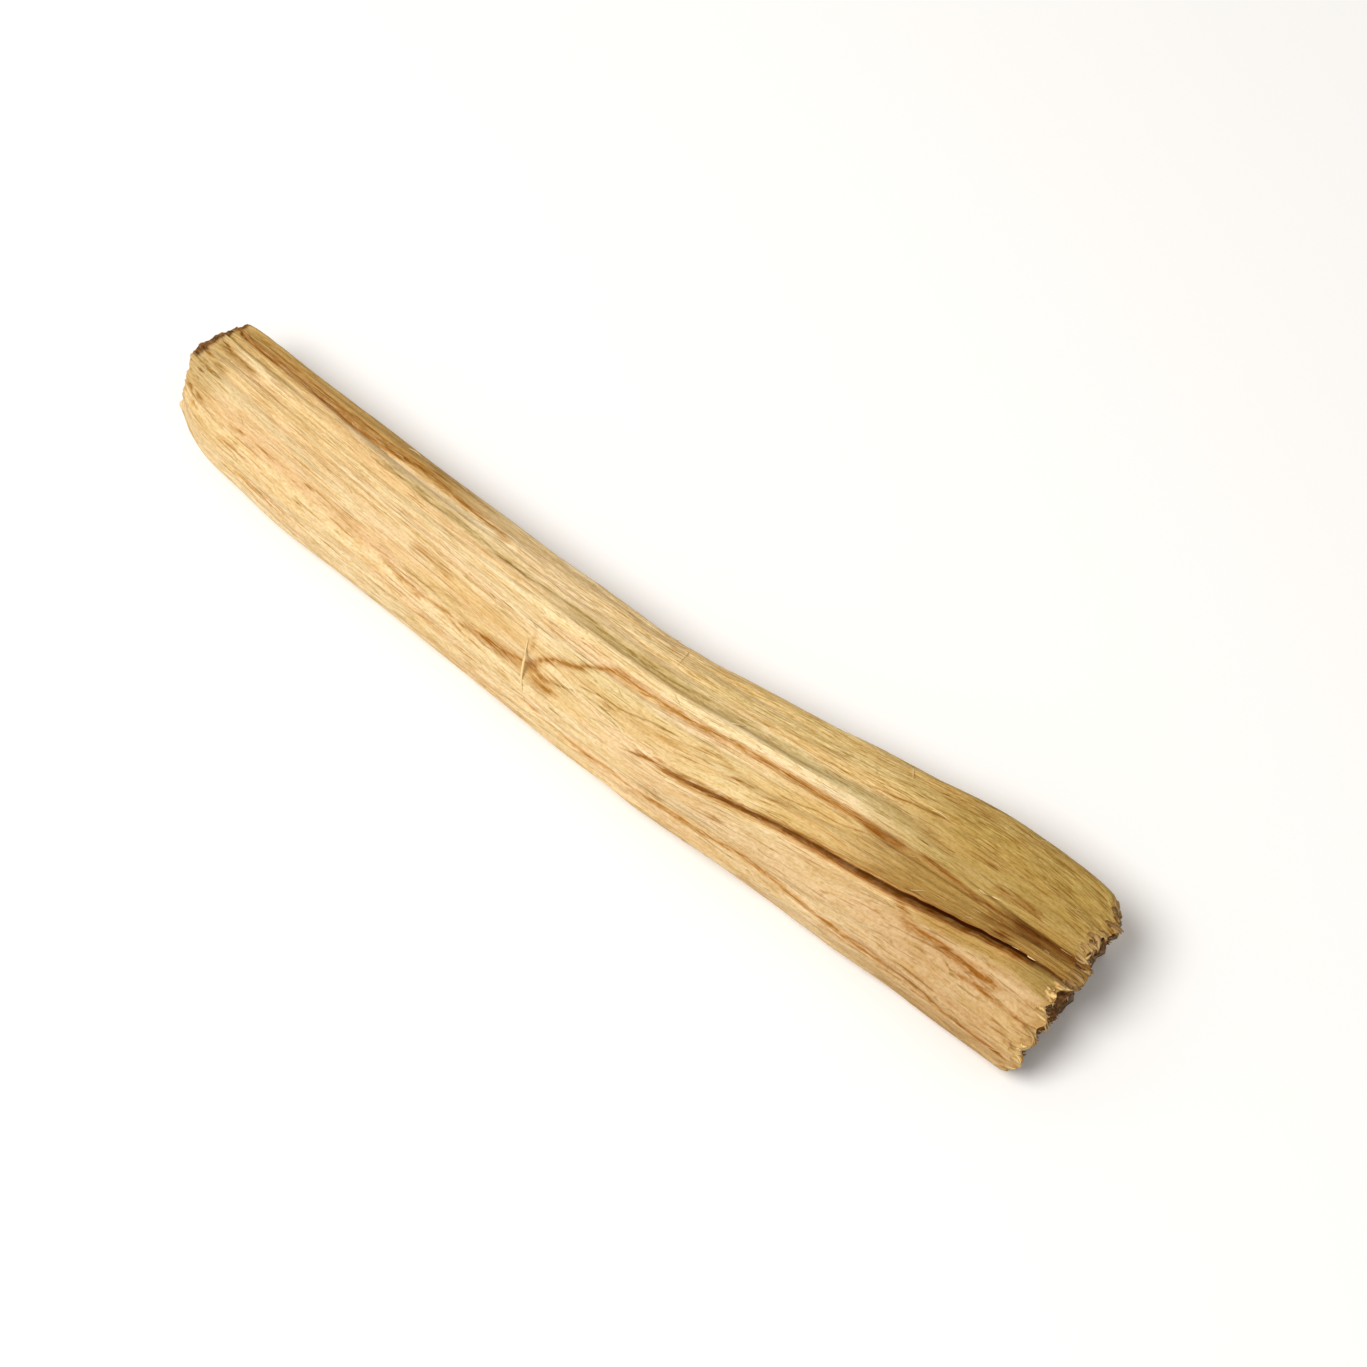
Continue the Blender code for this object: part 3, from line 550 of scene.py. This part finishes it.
CRACKS = [
    (0.15, 0.55, [(-47.0, 10.85), (-46.0, 10.85), (-44.0, 10.87)]),
    (0.1, 0.55, [(-39.8, 10.9), (-38.5, 10.93), (-37.2, 10.9)]),
    (0.08, 0.45, [(-36.2, 10.9), (-33.5, 10.93), (-30.0, 11.0)]),
    (0.08, 0.5, [(-26, 11.27), (-22.6, 11.18), (-18.5, 11.1)]),
    (0.12, 0.45, [(-49.6, 9.75), (-49.1, 9.45), (-48.4, 9.4)]),
    (0.09, 0.5, [(-49.3, 9.38), (-46.0, 9.42), (-44.8, 9.42)]),
    (0.16, 0.5, [(-49.8, 7.52), (-49.3, 7.5), (-48.9, 7.46)]),
    (0.12, 0.4, [(-49.0, 7.45), (-47.6, 7.43)]),
    (0.14, 0.42, [(-49.9, 7.1), (-49.2, 7.12)]),
    (0.12, 0.35, [(-50.0, 3.6), (-49.2, 3.4)]),
    (0.1, 0.8, [(-42.9, 3.98), (-42.1, 3.97)]),
    (0.06, 0.5, [(-40.5, 4.05), (-38.4, 4.06)]),
    (0.07, 0.55, [(-34.1, 4.2), (-33.1, 4.23)]),
    (0.09, 0.55, [(-13.0, 4.12), (-11.2, 4.28), (-9.6, 4.37), (-8.3, 4.55), (-7.0, 4.72)]),
    (0.16, 0.65, [(-7.0, 4.74), (-6.2, 4.84), (-5.4, 4.74)]),
    (0.09, 0.55, [(-5.4, 4.72), (-4.6, 4.7), (-3.7, 4.82)]),
    (0.12, 0.5, [(-5.9, 7.0), (-5.6, 7.17), (-4.9, 7.46), (-4.2, 7.6), (-3.2, 7.74), (-2.2, 7.95),
        (-1.4, 8.3)]),
    (0.1, 0.6, [(-2.1, 7.98), (-1.7, 8.15)]),
    (0.07, 0.8, [(5.4, 4.55), (6.2, 4.73), (7.2, 4.9), (8.3, 5.0)]),
    (0.13, 0.65, [(6.2, 4.75), (7.0, 4.88), (7.8, 4.98)]),
    (0.07, 0.65, [(19.5, 7.88), (21.3, 7.95), (23, 8.08), (25, 8.2), (27, 8.47), (28.4, 8.72),
        (29.2, 9.0)]),
    (0.09, 0.65, [(27.9, 9.22), (28.6, 9.17), (29.4, 9.14), (31.0, 9.2)]),
    (0.08, 0.6, [(28.3, 8.75), (29.2, 8.98), (30.2, 9.14)]),
    (0.09, 0.45, [(33.6, 9.34), (34.6, 9.33), (35.8, 9.24), (37.4, 9.2)]),
    (0.16, 0.4, [(45.5, 9.3), (48, 9.36), (51, 9.4)]),
    (0.08, 0.4, [(41.9, 3.36), (43.0, 3.4)]),
    (0.16, 0.5, [(20.9, 4.45), (21.3, 4.45), (21.8, 4.45)]),
    (0.1, 0.6, [(14.9, 11.3), (15.5, 11.3)]),
    (0.09, 0.7, [(44.5, 7.05), (47, 7.03), (51.3, 7.0)]),
]
OLIVE = [
    (0.12, 0.9, [(-28, 10.15), (-26, 10.2), (-24.7, 10.12), (-22.4, 10.17), (-20.3, 10.28),
        (-18, 10.33), (-15.7, 10.2)]),
    (0.12, 1.0, [(-16.0, 10.2), (-13.6, 10.22), (-11.7, 10.15), (-9.8, 10.28), (-7, 10.33),
        (-5, 10.36), (-3, 10.3)]),
    (0.14, 0.8, [(-3.4, 10.3), (0, 10.25), (4.0, 10.22), (8, 10.3)]),
    (0.35, 0.5, [(-30, 10.2), (-20, 10.25), (-10, 10.25), (0, 10.2), (8, 10.2)]),
    (0.6, 0.45, [(2, 10.2), (12, 10.22), (20, 10.25), (27, 10.3), (33, 10.3)]),
    (0.1, 0.55, [(-40.4, 9.27), (-38, 9.26), (-36, 9.22)]),
    (0.09, 0.5, [(-38.7, 7.13), (-37, 7.15), (-35.6, 7.25), (-34.5, 7.17)]),
    (0.25, 0.45, [(-49, 8.0), (-47.4, 7.85)]),
    (0.09, 0.55, [(-29.6, 4.4), (-28.4, 4.42)]),
    (0.08, 0.9, [(-1.4, 7.34), (-0.1, 7.48), (1.0, 7.57), (3.5, 7.62), (6.0, 7.82), (8.3, 7.86),
        (10.4, 7.8)]),
    (0.07, 0.8, [(-3.9, 4.8), (-3.0, 5.0), (-1.6, 7.13), (-0.5, 7.23), (1.2, 7.3), (4.4, 7.1)]),
    (0.07, 0.6, [(0.0, 4.85), (2.0, 5.0), (4.0, 7.06)]),
    (0.09, 0.5, [(16, 11.1), (17.7, 11.18)]),
    (0.09, 0.5, [(20.5, 11.2), (24, 11.1), (29, 11.2)]),
]
PALE = [
    (0.1, 0.8, [(40.8, 9.72), (42.5, 9.9), (44.5, 10.05), (46.2, 10.15)]),
    (0.1, 0.7, [(25, 10.72), (27.6, 10.8), (30.1, 10.9), (33, 11.0)]),
    (0.09, 0.6, [(12, 10.75), (18, 10.76), (25, 10.74)]),
    (0.1, 0.7, [(-48.5, 9.6), (-45, 9.6), (-40.3, 9.62)]),
    (0.12, 0.6, [(-49, 10.55), (-44, 10.5), (-41, 10.4), (-38.5, 10.2), (-36, 10.05)]),
    (0.1, 0.7, [(-42, 11.42), (-38, 11.35), (-28, 11.4)]),
    (0.1, 0.6, [(35.5, 10.1), (37.5, 10.05), (40.5, 10.35), (46, 10.25)]),
    (0.25, 0.5, [(34, 4.05), (40, 3.98), (46, 3.98), (51.5, 4.05)]),
]

# The lines are drawn slightly crooked, and the edges of the tones are uneven
crooked = 0.1 * streaky(1.6, 0.5, 111.0)
uneven_lines = all_lines + 0.14 * streaky(5.0, 0.7, 123.0) + 0.07 * streaky(1.6, 0.3, 135.0)
LINE_FADE = 1.6


def drawn(marks):
    """Slightly crooked lines along routes of (x, line), each as (half width, share, route)."""
    share = np.zeros(across.shape)
    for half_width, strength, route in marks:
        steps = np.linspace(route[0][0], route[-1][0], max(12, int(route[-1][0] - route[0][0])))
        lines = [curve_through(route, x)[0] for x in steps]
        here = [across[np.abs(stations - x).argmin()] for x in steps]
        sides = [np.interp(line, fine_lines, section) for line, section in zip(lines, here)]
        path = np.column_stack([steps, sides])
        nearest = np.full(across.shape, 1e3)
        for (x, side), (run, rise) in zip(path[:-1], np.diff(path, axis=0)):
            along, aside = station_x - x, across + crooked - side
            part = np.clip((along * run + aside * rise) / (run**2 + rise**2), 0, 1)
            nearest = np.minimum(nearest, np.hypot(along - part * run, aside - part * rise))
        fade = np.clip((station_x - steps[0] + LINE_FADE / 2) / LINE_FADE, 0, 1)
        fade = fade * np.clip((steps[-1] - station_x + LINE_FADE / 2) / LINE_FADE, 0, 1)
        share = np.maximum(share, strength * fade * np.exp(-((nearest / half_width) ** 2)))
    return share


def between(first, last, start, end, soft_lines, soft_x):
    """A share of 1 from line first to last and from x start to end, with soft, uneven edges."""
    over = np.clip((uneven_lines - first) / soft_lines, 0, 1)
    over = over * np.clip((last - uneven_lines) / soft_lines, 0, 1)
    over = over * np.clip((station_x - start) / soft_x, 0, 1) * np.clip((end - station_x) / soft_x, 0, 1)
    return over * over * (3 - 2 * over)


def from_x(start, over):
    """A share that is 0 up to x start, and grows to 1 over a length."""
    return np.clip((station_x - start) / over, 0, 1)


tone = np.ones(across.shape + (4,)) * np.array(CREAM + (1.0,))
for colour, strength, first, last, start, end, soft_lines, soft_x in TONES:
    share = strength * between(first, last, start, end, soft_lines, soft_x)[..., None]
    tone += share * (np.array(colour + (1.0,)) - tone)
# What the material is told at each point. The crack's walls are brown with resin, and painted darkest where
# it is open, as painted shade in its depths
marks = {
    "resin": np.maximum(drawn(RESIN), 0.8 * lump(-6.2, 4.8, 0.8, 0.5)),
    "crack": drawn(CRACKS),
    "olive": drawn(OLIVE),
    "pale": drawn(PALE),
    "hollow": hollow_shade,
    "coarse": between(10.5, 14.8, -20, 60, 0.3, 8),
    # Painted shade: the crushed end's top, from the crack lip's lines to the top edge, takes the ends' dark
    # colour in its last few tenths before the rim
    "end_face_shade": 0.95 * np.clip((-station_x - 50.2) / 0.3, 0, 1) * between(7.3, 12.0, -60, 0, 0.4, 1),
}
in_crack = np.clip((all_lines - 5.35) / 0.15, 0, 1) * np.clip((7.12 - all_lines) / 0.12, 0, 1)
marks["resin"] = np.maximum(marks["resin"], 0.9 * in_crack * from_x(12, 8))
marks["crack"] = np.maximum(marks["crack"], 0.6 * in_crack * from_x(8, 4))
# Painted shade: the depths of the open crack are painted fully dark
marks["crack"] = np.maximum(marks["crack"], in_crack * from_x(27, 9) * (station_x < 46.5))
point_count = len(wood.data.vertices)
for name, share in marks.items():
    filled = np.full(point_count, float(name == "end_face_shade"), np.float32)
    filled[: share.size] = share.ravel()
    wood.data.attributes.new(name, "FLOAT", "POINT").data.foreach_set("value", filled)
colours = np.ones((point_count, 4), np.float32)
colours[: across.size] = tone.reshape(-1, 4)
wood.data.attributes.new("tone", "FLOAT_COLOR", "POINT").data.foreach_set("color", colours.ravel())
along_grain = np.zeros((point_count, 3), np.float32)
along_grain[: across.size, 0] = station_x.ravel()
along_grain[: across.size, 1] = grain.ravel()
wood.data.attributes.new("grain", "FLOAT_VECTOR", "POINT").data.foreach_set("vector", along_grain.ravel())


def socket_from(made, socket, value):
    """Links a node's input to an output, or sets it."""
    if isinstance(value, bpy.types.NodeSocket):
        made.id_data.links.new(value, made.inputs[socket])
    else:
        made.inputs[socket].default_value = value


def node(tree, kind, inputs=(), output=0, **settings):
    """Adds a node and returns one output. inputs pairs each socket with a value or an output."""
    made = tree.nodes.new("ShaderNode" + kind)
    for name, value in settings.items():
        setattr(made, name, value)
    for socket, value in inputs:
        socket_from(made, socket, value)
    return made.outputs[output]


def laid_over(tree, below, colour, share, blend="MIX"):
    """Mixes a colour over the one below by a share."""
    return node(tree, "Mix", [(0, share), (6, below), (7, colour)], 2, data_type="RGBA", blend_type=blend)


def ranged(tree, value, low, high, to_low=0.0, to_high=1.0):
    return node(tree, "MapRange", [(0, value), (1, low), (2, high), (3, to_low), (4, to_high)])


def times(tree, first, second):
    return node(tree, "Math", [(0, first), (1, second)], operation="MULTIPLY")


split_wood = bpy.data.materials.new("split_wood")
split_wood.use_nodes = True
tree = split_wood.node_tree
shader = tree.nodes["Principled BSDF"]
grain_place = node(tree, "Attribute", output="Vector", attribute_name="grain")


def streaks(length, width, detail, where, bent=0.0):
    """Noise that is stretched along the fibres. length and width are in millimetres."""
    moved = node(tree, "Mapping", [(0, grain_place), (1, (0, 0, where)), (3, (1 / length, 1 / width, 1))])
    settings = [("Scale", 1.0), ("Detail", detail), ("Roughness", 0.6), ("Distortion", bent)]
    return node(tree, "TexNoise", [("Vector", moved)] + settings)


def painted(name):
    return node(tree, "Attribute", output="Fac", attribute_name=name)


def frayed(name, low, high):
    """A painted share whose edges follow the fibres."""
    return ranged(tree, times(tree, painted(name), ranged(tree, fine, 0.3, 0.7, 0.45, 1.45)), low, high)


colour = node(tree, "Attribute", output="Color", attribute_name="tone")
broad = streaks(22.0, 2.3, 3.0, 1.0)
rosy = streaks(14.0, 1.6, 2.0, 7.0)
medium = streaks(5.0, 0.42, 3.0, 2.0, 0.4)
fine = streaks(1.7, 0.15, 3.0, 3.0, 0.5)
grit = streaks(0.4, 0.13, 2.0, 8.0)
dashes = streaks(1.5, 0.12, 1.0, 4.0, 0.4)
dash_places = streaks(9.0, 1.1, 2.0, 5.0)
scratches = streaks(4.5, 0.1, 0.0, 6.0, 0.3)
coarse = streaks(2.0, 0.14, 2.0, 10.0, 0.4)
darker = times(tree, painted("coarse"), ranged(tree, coarse, 0.5, 0.66))
lighter = times(tree, painted("coarse"), ranged(tree, coarse, 0.48, 0.34))
dashed = times(tree, ranged(tree, dashes, 0.61, 0.7), ranged(tree, dash_places, 0.42, 0.62, 0.1, 0.9))
scratched = ranged(tree, scratches, 0.67, 0.73, 0.0, 0.7)

# The tints that the wood's colour is multiplied by, in turn, each by its share
TINTS = [
    ((0.95, 0.89, 0.78), ranged(tree, broad, 0.44, 0.62)),
    ((1.0, 0.955, 0.97), ranged(tree, rosy, 0.46, 0.6)),
    ((0.94, 0.885, 0.77), ranged(tree, medium, 0.5, 0.66)),
    ((1.1, 1.13, 1.2), ranged(tree, fine, 0.5, 0.36, 0.0, 0.8)),
    ((0.84, 0.765, 0.58), ranged(tree, fine, 0.52, 0.7, 0.0, 0.9)),
    ((0.85, 0.78, 0.66), ranged(tree, grit, 0.5, 0.7, 0.0, 0.9)),
    ((1.12, 1.15, 1.22), ranged(tree, grit, 0.44, 0.3, 0.0, 0.8)),
    ((0.72, 0.62, 0.42), darker),
    ((1.18, 1.18, 1.22), lighter),
    # Painted shade in the hollows between the fibres, darker and browner where they lie deep
    ((0.66, 0.5, 0.26), painted("hollow")),
    ((1.16, 1.22, 1.35), frayed("pale", 0.2, 0.8)),
    ((0.5, 0.46, 0.3), frayed("olive", 0.1, 0.9)),
    ((0.57, 0.345, 0.085), frayed("resin", 0.1, 0.95)),
    ((0.58, 0.5, 0.27), dashed),
    ((0.62, 0.48, 0.28), scratched),
]
for tint, share in TINTS:
    colour = laid_over(tree, colour, tint + (1,), share, "MULTIPLY")
cracked = frayed("crack", 0.1, 0.62)
colour = laid_over(tree, colour, (0.3, 0.125, 0.022, 1), times(tree, cracked, 0.85))
# Near black for the strongest drawn cracks and, as painted shade, for the depths of the open crack
colour = laid_over(tree, colour, (0.15, 0.032, 0.004, 1), ranged(tree, painted("crack"), 0.62, 1.0))

# The broken ends are brown, partly their own colour and partly painted shade, and darker between the
# fibres, where the painted shade is deepest
object_place = node(tree, "TexCoord", output="Object")
bundles = node(tree, "TexNoise", [("Vector", object_place), ("Scale", 2200.0), ("Detail", 4.0)])
shade_between_bundles = ranged(tree, bundles, 0.35, 0.62)
end_brown_and_shade = laid_over(tree, (0.27, 0.118, 0.028, 1), (0.065, 0.022, 0.005, 1), shade_between_bundles)
colour = laid_over(tree, colour, end_brown_and_shade, painted("end_face_shade"))
tree.links.new(colour, shader.inputs["Base Color"])
tree.links.new(ranged(tree, fine, 0.3, 0.7, 0.62, 0.84), shader.inputs["Roughness"])
shader.inputs["Specular IOR Level"].default_value = 0.1

hairs = streaks(1.6, 0.07, 2.0, 9.0)
height = times(tree, fine, 0.9)
for pattern, share in ((hairs, 0.6), (grit, 0.5), (scratched, -0.6)):
    height = node(tree, "Math", [(0, height), (1, times(tree, pattern, share))], operation="ADD")
bump = node(tree, "Bump", [("Strength", 0.8), ("Distance", 0.00007), ("Height", height)])
tree.links.new(bump, shader.inputs["Normal"])
wood.data.materials.append(split_wood)
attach(wood, "root")
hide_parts("stick")

# The torn fibres of the flared end
# Bundles of single fibres that were pulled until they broke. Each is drawn out thin, pale at the tip and
# painted darker brown towards the root as shade where the fibres crowd together, and those at the rim are
# folded over it. One fibre is shaped here, and copies are bent.
def fibre_piece(name):
    """A new piece for fibres, which starts as one flat ring of five corners."""
    bpy.ops.object.select_all(action="DESELECT")
    bpy.ops.mesh.primitive_circle_add(vertices=5, radius=0.5, fill_type="NGON")
    bpy.context.object.name = name
    return bpy.context.object


torn_fibres = fibre_piece("torn_fibres")
bpy.ops.object.mode_set(mode="EDIT")
for thinner in (0.95, 0.92, 0.82, 0.62, 0.35):
    bpy.ops.mesh.extrude_region_move(TRANSFORM_OT_translate={"value": (0, 0, 0.2)})
    bpy.ops.transform.resize(value=(thinner, thinner, 1))
bpy.ops.object.mode_set(mode="OBJECT")
fibre_points = np.array([vert.co[:] for vert in torn_fibres.data.vertices])
fibre_points[:, 2] -= fibre_points[:, 2].min()
fibre_faces = [tuple(face.vertices) for face in torn_fibres.data.polygons]


def bend_copies(piece, strands):
    """Fills the piece with bent copies, as (root, bend, tip, flat side, width, thickness, shade)."""
    placed, faces, shades = [], [], []
    along = fibre_points[:, 2:]
    for number, (root, bend, tip, flat, width, thickness, shade) in enumerate(strands):
        spine = (1 - along) ** 2 * root + 2 * along * (1 - along) * bend + along**2 * tip
        forward = (1 - along) * (bend - root) + along * (tip - bend)
        forward /= np.linalg.norm(forward, axis=1)[:, None]
        side = np.cross(flat, forward)
        side /= np.linalg.norm(side, axis=1)[:, None]
        up = np.cross(forward, side)
        wide, thick = fibre_points[:, :1] * width, fibre_points[:, 1:2] * thickness
        placed.append(spine + side * wide + up * thick)
        faces += [tuple(k + number * len(fibre_points) for k in face) for face in fibre_faces]
        shades += [shade] * len(fibre_points)
    mesh = bpy.data.meshes.new(piece.name)
    mesh.from_pydata(np.clip(np.concatenate(placed) * MM, *cad_box), [], faces)
    piece.data = mesh
    mesh.attributes.new("shade", "FLOAT", "POINT").data.foreach_set("value", shades)
    heights = np.tile(fibre_points[:, 2], len(strands)).astype(np.float32)
    mesh.attributes.new("along", "FLOAT", "POINT").data.foreach_set("value", heights)
    shell = bmesh.new()
    shell.from_mesh(mesh)
    bmesh.ops.recalc_face_normals(shell, faces=shell.faces)
    shell.to_mesh(mesh)
    shell.free()
    mesh.shade_smooth()


def on_surface(x, line):
    """The point and the outward direction of the wood's surface at (x, line)."""
    station = np.abs(stations - x).argmin()
    row = np.abs(fine_lines - line).argmin()
    facing = np.array([0.0, *outward[station, row]])
    place = points[station, row].copy()
    place[0] += x - stations[station]
    return place, facing


chance = np.random.default_rng(11)
RIM_CLUMPS, MOST_IN_CLUMP, LONGEST_STRAND, FOLDED_IN = 56, 4, 1.3, 1.0
BARE_STRIP, BARE_SHARE = (7.1, 9.0), 0.75
PAST_SOLID, PAST_RIM = 0.1, 0.3
PALE_BELOW_LINE = 5


def rim_strands():
    """Fibres that leave the surface near the torn end and are folded over its rim, in clumps."""
    strands = []
    for _ in range(RIM_CLUMPS):
        row = int(chance.integers(6, rear_foot - 30))
        if BARE_STRIP[0] < fine_lines[row] < BARE_STRIP[1] and chance.random() < BARE_SHARE:
            continue
        lean = chance.normal(0, 0.45)
        fold = chance.uniform(-FOLDED_IN, -0.1 * FOLDED_IN)
        for _ in range(int(chance.integers(2, MOST_IN_CLUMP + 1))):
            here = int(np.clip(row + chance.integers(-3, 4), 4, rear_foot - 24))
            back = -1 - int(chance.integers(7, 14))
            facing = np.array([0.0, *outward[-1, here]])
            beside = np.array([0.0, -facing[2], facing[1]])
            root = points[back, here] - 0.05 * facing
            bend = points[-1, here] + 0.2 * facing
            reach = chance.uniform(0.35, 1.0) * LONGEST_STRAND
            aside = (lean + chance.normal(0, 0.15)) * beside
            turned = (fold + chance.normal(0, 0.1)) * facing
            tip = bend + reach * (np.array([0.6, 0, 0]) + aside + turned)
            place = tip[1] + middle[1], tip[2]
            limit = min(solid_end(1, *place) + PAST_SOLID, rim_at(1, *place) + PAST_RIM)
            tip[0] = min(tip[0], limit - middle[0])
            bend[0] = min(bend[0], tip[0] - 0.1)
            tip[2] = max(tip[2], 0.1)
            width = chance.uniform(0.22, 0.65)
            pale = 0.85 if fine_lines[here] < PALE_BELOW_LINE else 0.5
            shade = pale + chance.uniform(-0.45, 0.1)
            strands.append((root, bend, tip, facing, width, 0.28 * width, shade))
    return strands


def face_strands(side, spots, share, spill):
    """Fibres that stand out of an end's face at a share of its spots, leaning together by up to a spill."""
    strands = []
    for y, z in spots:
        if chance.random() > share:
            continue
        foot = end_at(side, y + middle[1], z) - middle[0] - side * 0.45
        tip_x = rim_at(side, y + middle[1], z) - middle[0] - side * chance.uniform(0.0, 0.5)
        lean_y = spill * noise.noise(Vector((y / 1.1, z / 1.1, 3.3))) + 0.3 * spill * chance.normal()
        lean_z = spill * noise.noise(Vector((y / 1.1, z / 1.1, 8.8))) + 0.3 * spill * chance.normal()
        root = np.array([foot, y, z])
        tip = np.array([tip_x, y + lean_y, max(z + lean_z, 0.08)])
        bend = np.array([0.4 * foot + 0.6 * tip_x, y + 0.15 * lean_y, z + 0.15 * lean_z])
        angle = chance.uniform(0, math.pi)
        flat = np.array([0.0, math.cos(angle), math.sin(angle)])
        width = chance.uniform(0.22, 0.5)
        # The fibres in an end's face take the darkest shades, partly their own brown and partly painted
        # shade
        strands.append((root, bend, tip, flat, width, 0.45 * width, chance.uniform(0.0, 0.45)))
    return strands


bend_copies(torn_fibres, rim_strands() + face_strands(1, torn_spots, 0.8, 0.45))
fibre = bpy.data.materials.new("broken_fibre")
fibre.use_nodes = True
fibre_tree = fibre.node_tree
fibre_shader = fibre_tree.nodes["Principled BSDF"]
shade = node(fibre_tree, "Attribute", output="Fac", attribute_name="shade")
height = node(fibre_tree, "Attribute", output="Fac", attribute_name="along")
fibre_colour = laid_over(fibre_tree, (0.13, 0.055, 0.015, 1), (0.86, 0.6, 0.25, 1), shade)
root_shade = ranged(fibre_tree, height, 0.0, 0.5, 0.6, 0.0)
# Painted shade: each fibre is darkened towards its root
fibre_colour = laid_over(fibre_tree, fibre_colour, (0.5, 0.32, 0.12, 1), root_shade, "MULTIPLY")
fibre_tree.links.new(fibre_colour, fibre_shader.inputs["Base Color"])
fibre_shader.inputs["Roughness"].default_value = 0.7
fibre_shader.inputs["Specular IOR Level"].default_value = 0.15
torn_fibres.data.materials.append(fibre)
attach(torn_fibres, "root")

# The mashed fibres of the crushed end
# The same fibres, shorter and bent to all sides by the blow that crushed them.
mashed_fibres = fibre_piece("mashed_fibres")
bend_copies(mashed_fibres, face_strands(-1, crushed_spots, 0.8, 0.6))
mashed_fibres.data.materials.append(fibre)
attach(mashed_fibres, "root")

# The loose splinters
# Pale fibres that split off the faces and still lie on them: one crosses the knot in two lengths, a few lie
# elsewhere as (start, middle, end, width), and the shortest make a fine fuzz along the grain.
splinters = fibre_piece("splinters")
SPLINTERS = [
    ((-7.8, 7.55), (-7.3, 7.08), (-6.6, 4.4), 0.14),
    ((-7.3, 7.1), (-6.2, 3.7), (-5.2, 2.45), 0.26),
    ((4.2, 11.6), (4.3, 11.1), (4.6, 10.7), 0.1),
    ((26.8, 11.85), (27.1, 11.6), (27.7, 11.38), 0.14),
    ((31.0, 10.88), (32.0, 10.9), (33.0, 10.84), 0.12),
    ((40.2, 9.7), (40.8, 9.8), (41.4, 9.85), 0.14),
    ((38.8, 9.55), (39.2, 9.6), (39.8, 9.62), 0.12),
    ((44.2, 6.8), (44.6, 7.05), (45.1, 7.14), 0.16),
    ((45.9, 6.95), (46.3, 7.05), (46.8, 7.06), 0.16),
    ((-29.2, 11.75), (-28.5, 11.7), (-27.6, 11.75), 0.12),
    ((12.0, 10.0), (12.6, 10.1), (13.1, 10.25), 0.09),
    ((-20.5, 8.6), (-19.6, 8.5), (-18.8, 8.35), 0.09),
]
FUZZ_COUNT, BARE_CRACK = 420, (4.7, 7.1)
loose = []
for start, over, end, width in SPLINTERS:
    (root, facing), (bend, _), (tip, _) = on_surface(*start), on_surface(*over), on_surface(*end)
    bend = bend + 0.2 * np.linalg.norm(tip - root) * facing
    loose.append((root, bend, tip + 0.06 * facing, facing, width, 0.6 * width, 1.0))
for _ in range(FUZZ_COUNT):
    x, line = chance.uniform(-50, 49.5), chance.uniform(0.6, 13.2)
    if BARE_CRACK[0] < line < BARE_CRACK[1]:
        continue
    root, facing = on_surface(x, line)
    slant = chance.normal(0, 0.3)
    length = chance.uniform(0.5, 1.7) * chance.choice((-1, 1))
    beside = np.array([0.0, -facing[2], facing[1]])
    tip = on_surface(x + length * math.cos(slant), line)[0] + length * math.sin(slant) * beside
    bend = (root + tip) / 2 + chance.uniform(0.05, 0.14) * facing
    width = chance.uniform(0.04, 0.07)
    loose.append((root - 0.02 * facing, bend, tip, facing, width, 0.7 * width, chance.uniform(0.2, 0.7)))
bend_copies(splinters, loose)
splinter = bpy.data.materials.new("loose_splinter")
splinter.use_nodes = True
splinter_tree = splinter.node_tree
splinter_shader = splinter_tree.nodes["Principled BSDF"]
shade = node(splinter_tree, "Attribute", output="Fac", attribute_name="shade")
splinter_colour = laid_over(splinter_tree, (0.45, 0.3, 0.11, 1), (0.78, 0.58, 0.28, 1), shade)
splinter_tree.links.new(splinter_colour, splinter_shader.inputs["Base Color"])
splinter_shader.inputs["Roughness"].default_value = 0.65
splinters.data.materials.append(splinter)
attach(splinters, "root")

# The floor
# A plain pale table top, which isn't part of the stick.
bpy.ops.object.select_all(action="DESELECT")
bpy.ops.mesh.primitive_plane_add(size=6.0)
floor = bpy.context.object
floor.name = "floor"
table_top = bpy.data.materials.new("table_top")
table_top.use_nodes = True
table_shader = table_top.node_tree.nodes["Principled BSDF"]
table_shader.inputs["Base Color"].default_value = (0.88, 0.88, 0.88, 1)
table_shader.inputs["Roughness"].default_value = 0.9
floor.data.materials.append(table_top)

# The light
# A large soft window light from the front left, and an even pale room around it.
window = bpy.data.lights.new("window", "AREA")
window.shape = "DISK"
window.size = 0.34
window.energy = 2.7
window.color = (1.0, 0.975, 0.94)
window_place = bpy.data.objects.new("window", window)
bpy.context.scene.collection.objects.link(window_place)
window_place.location = (-0.11, -0.22, 0.49)
window_place.rotation_euler = Vector(window_place.location).to_track_quat("Z", "Y").to_euler()
room = bpy.data.worlds.new("room")
room.use_nodes = True
room.node_tree.nodes["Background"].inputs["Color"].default_value = (1.0, 0.975, 0.94, 1)
room.node_tree.nodes["Background"].inputs["Strength"].default_value = 0.50
bpy.context.scene.world = room
bpy.context.scene.view_settings.view_transform = "Standard"

# The camera
# It looks down on the stick from its torn end, so that the stick runs from the upper left to the lower
# right.
eye = Vector((122.0, -140.24, 382.49)) * MM
aim = Vector((4.79, 1.94, 5.02)) * MM
camera = bpy.data.cameras.new("camera")
camera.sensor_width = 36.0
camera.lens = 122.2
camera.clip_start = 0.01
camera_place = bpy.data.objects.new("camera", camera)
bpy.context.scene.collection.objects.link(camera_place)
camera_place.location = eye
camera_place.rotation_euler = (eye - aim).to_track_quat("Z", "Y").to_euler()
bpy.context.scene.camera = camera_place
